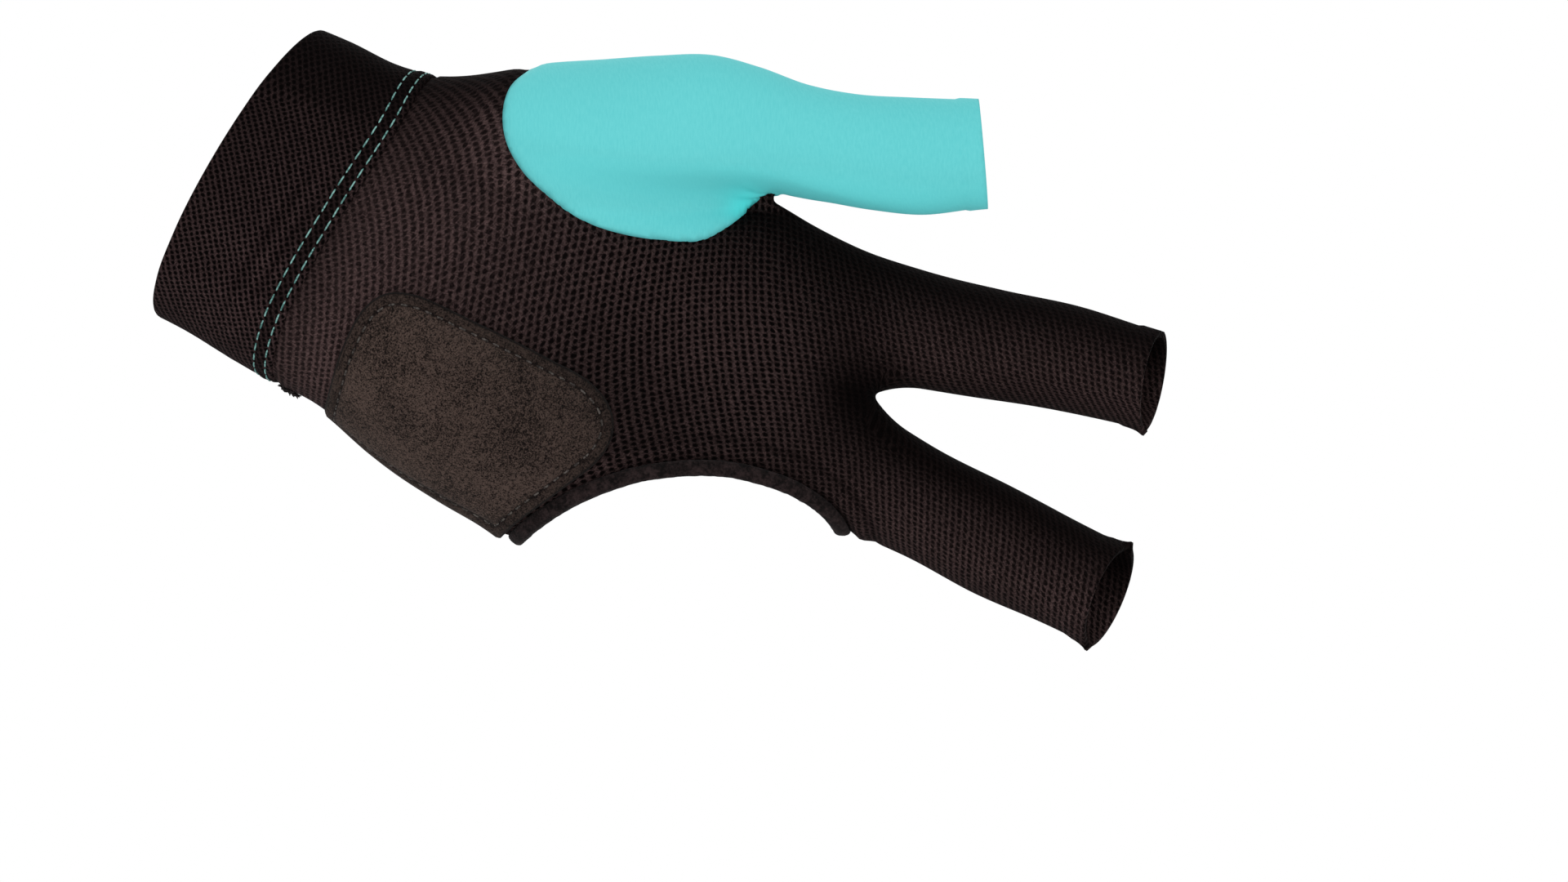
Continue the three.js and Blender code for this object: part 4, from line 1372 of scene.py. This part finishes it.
def tape_course(inset, steps):
    """Closed path once round the opening at a distance from its edge: palm side out, back side home."""
    line = move_sideways(smooth_line(OPENING_EDGE, DRAWING_STEP), inset)
    within = np.flatnonzero(depth_squared(line[:, 0], line[:, 1]) > 0)
    first, last = within[0], within[-1]

    def crossing(inner, outer):
        return boundary(lambda p: depth_squared(*p) > 0, line[inner], line[outer])

    x, z = np.vstack([crossing(first, first - 1), line[first : last + 1], crossing(last, last + 1)]).T
    loop = np.vstack([on_face(x, z, PALM_SIDE), on_face(x, z, BACK_SIDE)[1:-1][::-1]])
    closed = np.vstack([loop, loop[:1]])
    run = running_length(closed)
    print("tape length", round(run[-1], 1), "mm")
    return at_length(np.linspace(0, run[-1], steps, endpoint=False), run, closed)


def smooth_around(values, rounds):
    """Values round a closed line, each mixed with half its neighbours' sum, several times."""
    for _ in range(rounds):
        values = (np.roll(values, 1, 0) + 2 * values + np.roll(values, -1, 0)) / 4
    return values


def path_frame(path):
    """A smoothed closed path on the form, and the outward and sideways directions along it."""
    path = smooth_around(path, SMOOTHING)
    along = unit(np.roll(path, -1, 0) - np.roll(path, 1, 0))
    side = np.where(path[:, 1] < middle_plane(path[:, 0], path[:, 2]), PALM_SIDE, BACK_SIDE)
    sideways = unit(np.cross(smooth_around(away(path, side), SMOOTHING), along))
    return path, np.cross(along, sideways), sideways


print("one value of 1, smoothed once:", smooth_around(np.array([0.0, 0.0, 1.0, 0.0]), 1))

# %% Tape
TAPE_THICKNESS = 2.6
TAPE_SEAM_THICKNESS = 1.7
TAPE_THINS_OVER = 5.0
TAPE_STEPS = 420
TAPE_AROUND = 28
TAPE_SQUARENESS = 0.85
FUZZ = 0.05


def opening_tape():
    """A tube whose section is wide * cos(turn) ** 0.85 by thickness * sin(turn), with an uneven radius."""
    centre, out, sideways = path_frame(tape_course(TAPE_WIDTH / 2, TAPE_STEPS))
    turn = 2 * np.pi * np.arange(TAPE_AROUND) / TAPE_AROUND
    fuzz = np.random.default_rng(5).normal(size=(TAPE_STEPS, TAPE_AROUND))
    radius = 1.0 + FUZZ * smooth_around(smooth_around(fuzz, 1).T, 1).T
    wide = np.sign(np.cos(turn)) * np.abs(np.cos(turn)) ** TAPE_SQUARENESS * TAPE_WIDTH / 2 * radius
    thickness = mix(TAPE_SEAM_THICKNESS, TAPE_THICKNESS, ease(0.0, TAPE_THINS_OVER, seam_distance(centre)))
    high = np.sin(turn) * thickness[:, None] / 2 * radius - PANEL_WALL / 2
    points = centre[:, None] + sideways[:, None] * wide[..., None] + out[:, None] * high[..., None]
    faces = grid_faces(TAPE_STEPS, TAPE_AROUND, close_rows=True, close_columns=True)
    return add_piece("opening_tape", points.reshape(-1, 3), faces, "binding_tape", "opening_binding")


tape = opening_tape()

# %% [markdown]
# ## Stitches
# Each stitch is a short thread that comes up, runs over the cloth and goes down again: a capsule whose two
# ends sink below the surface. One capsule is worked out once and repeated along a row as a whole array.

# %% Short threads


def threads(line, first, second, around):
    """Short tubes as one mesh: rings of line + first * cos(turn) + second * sin(turn), and flat ends.

    line, first and second hold a place or direction for each thread and each step along it.
    """
    turn = 2 * np.pi * np.arange(around) / around
    ring = line[:, :, None] + first[:, :, None] * np.cos(turn)[:, None]
    ring += second[:, :, None] * np.sin(turn)[:, None]
    count, steps = line.shape[:2]
    starts = steps * around * np.arange(count)[:, None]
    tubes = (grid_faces(steps, around, close_columns=True).ravel() + starts).reshape(-1, 4)
    near = np.arange(around)[::-1] + starts
    far = np.arange(around) + starts + (steps - 1) * around
    return ring.reshape(-1, 3), tubes.tolist() + near.tolist() + far.tolist()


print("faces of a thread of two rings of 6 points:", len(threads(*np.zeros((3, 1, 2, 3)), 6)[1]))

# %% Rows of stitches
STITCH_AROUND = 8
STITCH_ALONG = 9
STITCH_RISE = 0.5
STITCH_SUNK = 0.3
STITCH_FLATNESS = 0.8
THINNEST = 0.01
WOBBLE = 0.05


def stitch_row(name, path, out, length, pitch, width, slot):
    """Capsules along a path: length * (s - 1/2) along it, arched as 1 - (2 s - 1) ** 4, half buried.

    Their radius is width / 2 * sqrt(1 - (2 s - 1) ** 6), so that both ends are round.
    """
    run = running_length(path)
    count = int(run[-1] / pitch)
    dice = np.random.default_rng(11)
    s = np.linspace(0, 1, STITCH_ALONG)
    jitter = dice.normal(scale=WOBBLE, size=(count, 1))
    at = (np.arange(count)[:, None] + 0.5) * run[-1] / count + length * (s - 0.5) + jitter
    centre = at_length(at, run, path)
    up = unit(at_length(at, run, out))
    along = unit(np.gradient(centre, axis=1))
    sideways = np.cross(up, along) + dice.normal(scale=WOBBLE, size=(count, 1, 1)) * along
    rise = width * (STITCH_RISE * (1 - (2 * s - 1) ** 4) - STITCH_SUNK)
    radius = width / 2 * np.sqrt(np.maximum(1 - (2 * s - 1) ** 6, 0.0)) + THINNEST
    line = centre + up * rise[:, None]
    first, second = sideways * radius[:, None], up * STITCH_FLATNESS * radius[:, None]
    print(name, count, "stitches")
    return add_piece(name, *threads(line, first, second, STITCH_AROUND), slot)


print("one stitch has", STITCH_ALONG, "rings of", STITCH_AROUND, "points")

# %% Stitches on the cuff
CUFF_STITCH = {"length": 2.4, "pitch": 3.0, "width": 0.32}
ROW_SUNK = 0.1


def cuff_row(name, offset):
    """A row of stitches round the cuff, at a distance before the palm seam."""
    p = ring_points(cuff_to - offset)
    out = away(p, cuff_ring["side"])
    p = p + out * (CUFF_RAISE - ROW_SUNK)
    path, path_out = np.vstack([p, p[:1]]), np.vstack([out, out[:1]])
    return stitch_row(name, path, path_out, **CUFF_STITCH, slot="thumb_stretch")


cuff_stitches_one = cuff_row("cuff_stitches_one", ROW_ONE)
cuff_stitches_two = cuff_row("cuff_stitches_two", ROW_TWO)

# %% Stitches on the patch
PATCH_STITCH = {"length": 1.6, "pitch": 2.45, "width": 0.42}
PATCH_STITCH_RAISE = 0.07
PATCH_DRAWING_STEP = 0.5
LOWER_STEPS = 90
CORNER_MARGIN = 0.6
CORNER_ROUNDS = 4
SEAM_SEARCH = 12.0


def at_depth_from_seam(x, distance):
    """Height on the palm face, near the little-finger side, whose distance from the side seam is given."""
    edge = little_finger_edge(x)
    return boundary(lambda z: seam_distance(on_face(x, z, PALM_SIDE)) <= distance, edge, edge + SEAM_SEARCH)


def patch_row():
    """The row's course in the palm plane: the patch's outline moved inwards, and home along the side seam."""
    x, z = move_sideways(smooth_line(PATCH_EDGE, PATCH_DRAWING_STEP), -STITCH_INSET).T
    upper = np.stack([x, z])[:, z > at_depth_from_seam(x, SEAM_ROW_DEPTH) + CORNER_MARGIN]
    lower_x = np.linspace(upper[0, -1], upper[0, 0], LOWER_STEPS)[1:-1]
    lower = np.stack([lower_x, at_depth_from_seam(lower_x, SEAM_ROW_DEPTH)])
    row = np.hstack([upper, lower, upper[:, :1]])
    for _ in range(CORNER_ROUNDS):
        row[:, 1:-1] = (row[:, :-2] + 2 * row[:, 1:-1] + row[:, 2:]) / 4
    return row


row = on_face(*patch_row(), PALM_SIDE)
row_out = away(row, PALM_SIDE)
row_path = row + row_out * (patch_lift(row) + PATCH_STITCH_RAISE)[:, None]
patch_stitches = stitch_row("patch_stitches", row_path, row_out, **PATCH_STITCH, slot="patch_suede")

# %% [markdown]
# ### Thread ends
# Where the cuff's rows meet the side seam below the little finger, the thread is knotted and cut, and a small
# black tuft stays. It is a bundle of short curved tubes that fan out from a short stretch of the seam.

# %% Thread ends
TUFT = {"from": 22.4, "to": 25.6, "threads": 90, "along": 9, "around": 6, "width": 0.45}
TUFT_SUNK = 0.15
TUFT_SPREAD = (0.1, 0.7, 0.15)
TUFT_DIRECTION = ((0.8, 0.5), (0.0, 0.5), (-0.05, 0.14))
TUFT_REACH = (0.6, 1.7)
TUFT_DROOP = 0.2
TUFT_THINS = 0.6
SIDE_HINT = np.array([0.3, 0.9, 0.2])


def tuft():
    """Curved threads: from a root on the seam, point(s) = root + reach * s * direction + droop * s ** 2."""
    dice = np.random.default_rng(3)
    count = TUFT["threads"]
    x = dice.uniform(TUFT["from"], TUFT["to"], count)
    edge = little_finger_edge(x)
    root = np.stack([x, middle_plane(x, edge), edge - TUFT_SUNK], 1)
    root += dice.normal(scale=TUFT_SPREAD, size=(count, 3))
    direction = unit(np.stack([dice.normal(middle, spread, count) for middle, spread in TUFT_DIRECTION], 1))
    s = np.linspace(0, 1, TUFT["along"])[None, :, None]
    reach = dice.uniform(*TUFT_REACH, count)[:, None, None]
    droop = dice.normal(scale=TUFT_DROOP, size=(count, 1, 3))
    line = root[:, None] + reach * s * direction[:, None] + droop * s**2
    along = unit(np.gradient(line, axis=1))
    first = unit(np.cross(along, SIDE_HINT))
    radius = TUFT["width"] / 2 * (1 - TUFT_THINS * s**3)
    return threads(line, first * radius, np.cross(along, first) * radius, TUFT["around"])


thread_ends = add_piece("thread_ends", *tuft(), "panel_mesh")

# %% [markdown]
# ## Finishes
# Shader maths is written as Python expressions. A small class wraps a socket, and each operator adds one Math
# node. Every other node comes from one method that sets it up before its sockets are filled.

# %% Arithmetic on sockets


def math_node(operation, swapped=False):
    """A method that adds one Math node. Swapped is the reflected form, where the other value comes first."""

    def apply(self, *others):
        values = (*others, self) if swapped else (self, *others)
        return self.finish.node("ShaderNodeMath", {"operation": operation}, dict(enumerate(values)))

    return apply


class Wire:
    """A value socket that can be used in Python arithmetic."""

    def __init__(self, finish, socket):
        self.finish = finish
        self.socket = socket

    __add__ = math_node("ADD")
    __radd__ = math_node("ADD", swapped=True)
    __sub__ = math_node("SUBTRACT")
    __rsub__ = math_node("SUBTRACT", swapped=True)
    __mul__ = math_node("MULTIPLY")
    __rmul__ = math_node("MULTIPLY", swapped=True)
    __truediv__ = math_node("DIVIDE")
    __rtruediv__ = math_node("DIVIDE", swapped=True)
    __pow__ = math_node("POWER")
    absolute = math_node("ABSOLUTE")
    fraction = math_node("FRACT")
    exponent = math_node("EXPONENT")
    larger = math_node("MAXIMUM")


print("arithmetic on sockets: + - * / ** absolute, fraction, exponent and larger")

# %% Shader helper


class Finish:
    """A material with a Principled shader, and the one method that adds nodes."""

    def __init__(self, name, roughness, specular=0.2, sheen=0.0, sheen_tint=(1, 1, 1)):
        self.material = bpy.data.materials.new(name)
        self.material.use_nodes = True
        self.nodes = self.material.node_tree.nodes
        self.shader = self.nodes["Principled BSDF"]
        self.shader.inputs["Roughness"].default_value = roughness
        self.shader.inputs["Specular IOR Level"].default_value = specular
        self.shader.inputs["Sheen Weight"].default_value = sheen
        self.shader.inputs["Sheen Roughness"].default_value = 0.5
        self.shader.inputs["Sheen Tint"].default_value = (*sheen_tint, 1.0)

    def fill(self, socket, value):
        """Links a wire to a socket, or sets the socket to a number or to a colour of three values."""
        if isinstance(value, Wire):
            self.material.node_tree.links.new(value.socket, socket)
        elif socket.type == "RGBA":
            socket.default_value = (*value, 1.0)
        else:
            socket.default_value = value

    def node(self, kind, settings, sockets, output=0):
        """A node of any kind: settings first, then sockets by name or number, and one output as a Wire."""
        made = self.nodes.new(kind)
        for key, value in settings.items():
            setattr(made, key, value)
        for key, value in sockets.items():
            self.fill(made.inputs[key], value)
        return Wire(self, made.outputs[output])

    def smooth(self, value, low, high):
        """0 below low and 1 above high, eased between."""
        sockets = {"Value": value, "From Min": low, "From Max": high}
        return self.node("ShaderNodeMapRange", {"interpolation_type": "SMOOTHSTEP"}, sockets)

    def blend(self, share, first, second):
        """A mix of two colours, whose sockets come after those for numbers and vectors."""
        return self.node("ShaderNodeMix", {"data_type": "RGBA"}, {0: share, 6: first, 7: second}, output=2)

    def noise(self, vector, scale, detail=2.0, rough=0.5):
        sockets = {"Vector": vector, "Scale": scale, "Detail": detail, "Roughness": rough}
        return self.node("ShaderNodeTexNoise", {}, sockets)

    def vector(self, x, y, z=0.0):
        return self.node("ShaderNodeCombineXYZ", {}, {"X": x, "Y": y, "Z": z})

    def split(self, vector):
        """The three values of a vector."""
        first = self.node("ShaderNodeSeparateXYZ", {}, {"Vector": vector})
        return [Wire(self, socket) for socket in first.socket.node.outputs]

    def pair(self, title):
        """The two values of a UV map."""
        return self.split(self.node("ShaderNodeUVMap", {"uv_map": title}, {}))[:2]

    def place(self):
        """Object coordinates, in metres."""
        return self.node("ShaderNodeTexCoord", {}, {}, output="Object")

    def surface(self, colour, height=None, strength=1.0, distance=0.3):
        """The material, with its colour and, where a height is given, a bump of a distance in millimetres."""
        self.fill(self.shader.inputs["Base Color"], colour)
        if height is not None:
            sockets = {"Strength": strength, "Distance": distance * MM, "Height": height}
            self.fill(self.shader.inputs["Normal"], self.node("ShaderNodeBump", {}, sockets))
        return self.material


def linear(red, green, blue):
    """A colour read from a screen, 0 to 255, as the linear colour that a shader takes."""
    c = np.array([red, green, blue]) / 255.0
    return tuple(np.where(c <= 0.04045, c / 12.92, ((c + 0.055) / 1.055) ** 2.4).tolist())


print("screen grey 128 is", round(linear(128, 128, 128)[0], 3), "in a shader")

# %% [markdown]
# ### Mesh knit
# The cloth is a warp knit with small dark holes in staggered columns. The columns stand upright in the
# photograph, so they are turned 20 degrees against the hand. The holes are wider apart on the stretched palm
# than on the finger sleeves. Between them run fine fibres. The same pattern is colour and bump.

# %% Mesh knit
SWAY = 0.55
HOLE_LEAN = 0.25
# Squares of a hole's half width and half length, in columns and rows
HOLE_WIDTH = 0.085
HOLE_LENGTH = 0.125
HOLE_EDGE = (0.65, 1.4)
KNIT_LIGHT = linear(92, 73, 72)
KNIT_DARK = linear(4, 2, 2)
CUFF_LIGHT = linear(88, 69, 69)


def from_whole(value):
    """Signed distance of a wire's value to the nearest whole number."""
    return (value + 0.5).fraction() - 0.5


def fibres(made, u, v):
    """Coarse threads of the yarn, the larger of two slanting noises, and fine ones."""
    rising = made.noise(made.vector((u + v) * 4.5, (u - v) * 0.9), 1.0, rough=0.7)
    falling = made.noise(made.vector((u - v) * 4.5, (u + v) * 0.9, 3.0), 1.0, rough=0.7)
    return rising.larger(falling), made.noise(made.vector(u * 17.0, v * 9.0), 1.0, rough=0.7)


def knit(name, light, hole_size=1.0):
    """Knitted mesh from the counted map: an oval hole at every whole count, ribs and fibres between them."""
    made = Finish(name, roughness=0.9, specular=0.03)
    columns, rows = made.pair("knit")
    shade, openness = made.pair("shade")
    u = columns + SWAY * (made.noise(made.vector(columns * 0.9, rows * 0.9), 1.0, detail=1.0) - 0.5)
    v = rows + SWAY * (made.noise(made.vector(rows * 0.8, columns * 0.8, 7.0), 1.0, detail=1.0) - 0.5)
    over, along = from_whole(u), from_whole(v)
    lean = over * HOLE_LEAN + along
    hole = (over * over / HOLE_WIDTH + lean * lean / HOLE_LENGTH) ** 0.5
    opened = (1 - made.smooth(hole, HOLE_EDGE[0] * hole_size, HOLE_EDGE[1] * hole_size)) * openness
    rib = made.smooth(over.absolute(), 0.15, 0.45)
    coarse, fine = fibres(made, u, v)
    cloud = made.noise(made.place(), 60.0)
    bright = made.smooth(coarse * 0.6 + fine * 0.4, 0.45, 0.64)
    # shade is painted light and shade, worked out for each point and read from its UV map
    body = (0.06 + 0.24 * rib + 1.7 * bright) * (0.75 + 0.5 * cloud) * shade
    colour = made.blend(opened, made.blend(body * 0.8, KNIT_DARK, light), KNIT_DARK)
    height = rib * 0.3 + coarse * 0.4 + fine * 0.2 - opened * 0.9
    return made.surface(colour, height, strength=0.7)


panel_knit = knit("panel_knit", KNIT_LIGHT)
cuff_knit = knit("cuff_knit", CUFF_LIGHT, hole_size=1.05)
print("nodes in the knit:", len(panel_knit.node_tree.nodes))

# %% [markdown]
# ### Stretch cloth and suede
# The thumb cloth is nearly plain: a very fine upright rib and slow clouds of lighter colour, with painted
# light where it slopes down beside the palm, and in the crease beside the web a more saturated teal that is
# also painted light over the shade of the groove. The suede is mottled at three sizes, with painted light
# across it.
# Its rim and its row of stitches are lines of painted shade that follow the distance to its edge.

# %% Stretch cloth
CREASE = {"x": 97.5, "z": 27.5, "width": 22.0, "height": 12.0}
TEAL_DARK = linear(96, 204, 207)
TEAL_LIGHT = linear(108, 212, 214)
# Colour of the painted light on the sleeve's down-facing slopes
TEAL_PAINTED_LIGHT = linear(112, 240, 243)
# Crease beside the web: a more saturated teal, and painted light over the shade of the groove
TEAL_CREASE_TINT_AND_LIGHT = linear(90, 255, 255)


def stretch_cloth():
    """A rib upright in the photograph; the crease is exp(-(dx ** 2 / width + dz ** 2 / height)),
    where the colour is a more saturated teal and also painted light over the groove's shade.
    """
    made = Finish("stretch_cloth", roughness=0.75, specular=0.15)
    along, over = made.pair("cloth")
    stretched, _ = made.pair("stretched")
    place = made.place()
    across_rib = along * float(np.cos(TURN)) + over * float(np.sin(TURN))
    along_rib = over * float(np.cos(TURN)) - along * float(np.sin(TURN))
    rib = made.noise(made.vector(across_rib * 2.6, along_rib * 0.55), 1.0, rough=0.6)
    fine = made.noise(made.vector(across_rib * 7.0, along_rib * 2.4), 1.0, detail=1.0)
    cloud = made.noise(place, 22.0)
    x, _, z = made.split(place)
    from_x, from_z = x / MM - CREASE["x"], z / MM - CREASE["z"]
    crease = (0 - (from_x * from_x / CREASE["width"] + from_z * from_z / CREASE["height"])).exponent()
    plain = made.blend(made.smooth(rib * 0.7 + cloud * 0.3, 0.2, 0.8), TEAL_DARK, TEAL_LIGHT)
    # Painted light where the sleeve slopes down beside the palm
    with_painted_light = made.blend(stretched, plain, TEAL_PAINTED_LIGHT)
    # Crease beside the web: a more saturated teal and painted light over the groove's shade
    colour = made.blend(crease * 0.8, with_painted_light, TEAL_CREASE_TINT_AND_LIGHT)
    return made.surface(colour, rib * 0.6 + fine * 0.4, strength=0.25, distance=0.15)


teal_cloth = stretch_cloth()
print("nodes in the stretch cloth:", len(teal_cloth.node_tree.nodes))

# %% Suede
SUEDE_DARK = linear(12, 8, 7)
SUEDE_LIGHT = linear(80, 66, 60)
SUEDE_LINE = linear(12, 8, 8)


def suede():
    """Mottled nap under painted light, darker outside the row of stitches, and painted shade along the row and
    at the rim.
    """
    made = Finish("suede", roughness=1.0, specular=0.08, sheen=0.03, sheen_tint=(0.9, 0.85, 0.8))
    painted_patch_light, border = made.pair("edge")
    place = made.place()
    from_row = border - STITCH_INSET
    inner = made.smooth(from_row, -0.1, 0.4)
    row = made.smooth(from_row.absolute(), 0.1, 0.4)
    rim = made.smooth(border, 0.25, 0.6)
    # Painted light across the patch, darker outside the row, and painted shade along the row and at the rim
    shade = painted_patch_light * (0.62 + 0.38 * inner) * (0.3 + 0.7 * row) * (0.05 + 0.95 * rim)
    grain = made.noise(place, 3200.0, 3.0, 0.8)
    mottle = made.noise(place, 1300.0, 3.0, 0.7)
    cloud = made.noise(place, 110.0, 3.0)
    light = made.smooth(grain * 0.62 + mottle * 0.26 + cloud * 0.12, 0.42, 0.58)
    colour = made.blend(shade, SUEDE_LINE, made.blend(light, SUEDE_DARK, SUEDE_LIGHT))
    return made.surface(colour, grain * 0.6 + mottle * 0.4, strength=0.6)


napped = suede()
print("nodes in the suede:", len(napped.node_tree.nodes))

# %% [markdown]
# ### Tape and thread
# Both are fibres seen close: the tape a felt of loose ones, the threads twisted. A noise far finer than the
# piece gives them their colour and their bump.

# %% Tape and thread
TAPE_DARK = linear(12, 9, 9)
TAPE_LIGHT = linear(46, 36, 36)


def tape_cloth():
    made = Finish("tape_cloth", roughness=1.0, specular=0.08, sheen=0.03)
    place = made.place()
    fuzz = made.noise(place, 1600.0, 4.0, 0.75)
    lump = made.noise(place, 500.0)
    colour = made.blend(made.smooth(fuzz * 0.6 + lump * 0.4, 0.38, 0.66), TAPE_DARK, TAPE_LIGHT)
    return made.surface(colour, fuzz * 0.6 + lump * 0.6, strength=0.8, distance=0.4)


def thread(name, dark, light):
    made = Finish(name, roughness=0.7, specular=0.15)
    twist = made.noise(made.place(), 1800.0, rough=0.6)
    colour = made.blend(made.smooth(twist, 0.35, 0.65), linear(*dark), linear(*light))
    return made.surface(colour, twist, strength=0.4, distance=0.1)


def floor_paint():
    made = Finish("floor_paint", roughness=0.9)
    return made.surface(made.blend(made.noise(made.place(), 3.0), (0.78, 0.78, 0.78), (0.82, 0.82, 0.82)))


teal_thread = thread("teal_thread", (58, 104, 99), (140, 186, 180))
grey_thread = thread("grey_thread", (34, 30, 28), (86, 80, 76))
black_thread = thread("black_thread", (12, 9, 9), (40, 33, 33))
print("threads:", teal_thread.name, grey_thread.name, black_thread.name)

# %% Finishes on their pieces
DRESSED = (
    (panel_knit, palm, backside),
    (cuff_knit, cuff),
    (teal_cloth, sleeve),
    (napped, patch),
    (tape_cloth(), tape),
    (teal_thread, cuff_stitches_one, cuff_stitches_two),
    (grey_thread, patch_stitches),
    (black_thread, thread_ends),
    (floor_paint(), floor),
)
for finish, *pieces in DRESSED:
    for piece in pieces:
        piece.data.materials.append(finish)
print("pieces with a finish:", sum(len(pieces) for _, *pieces in DRESSED))
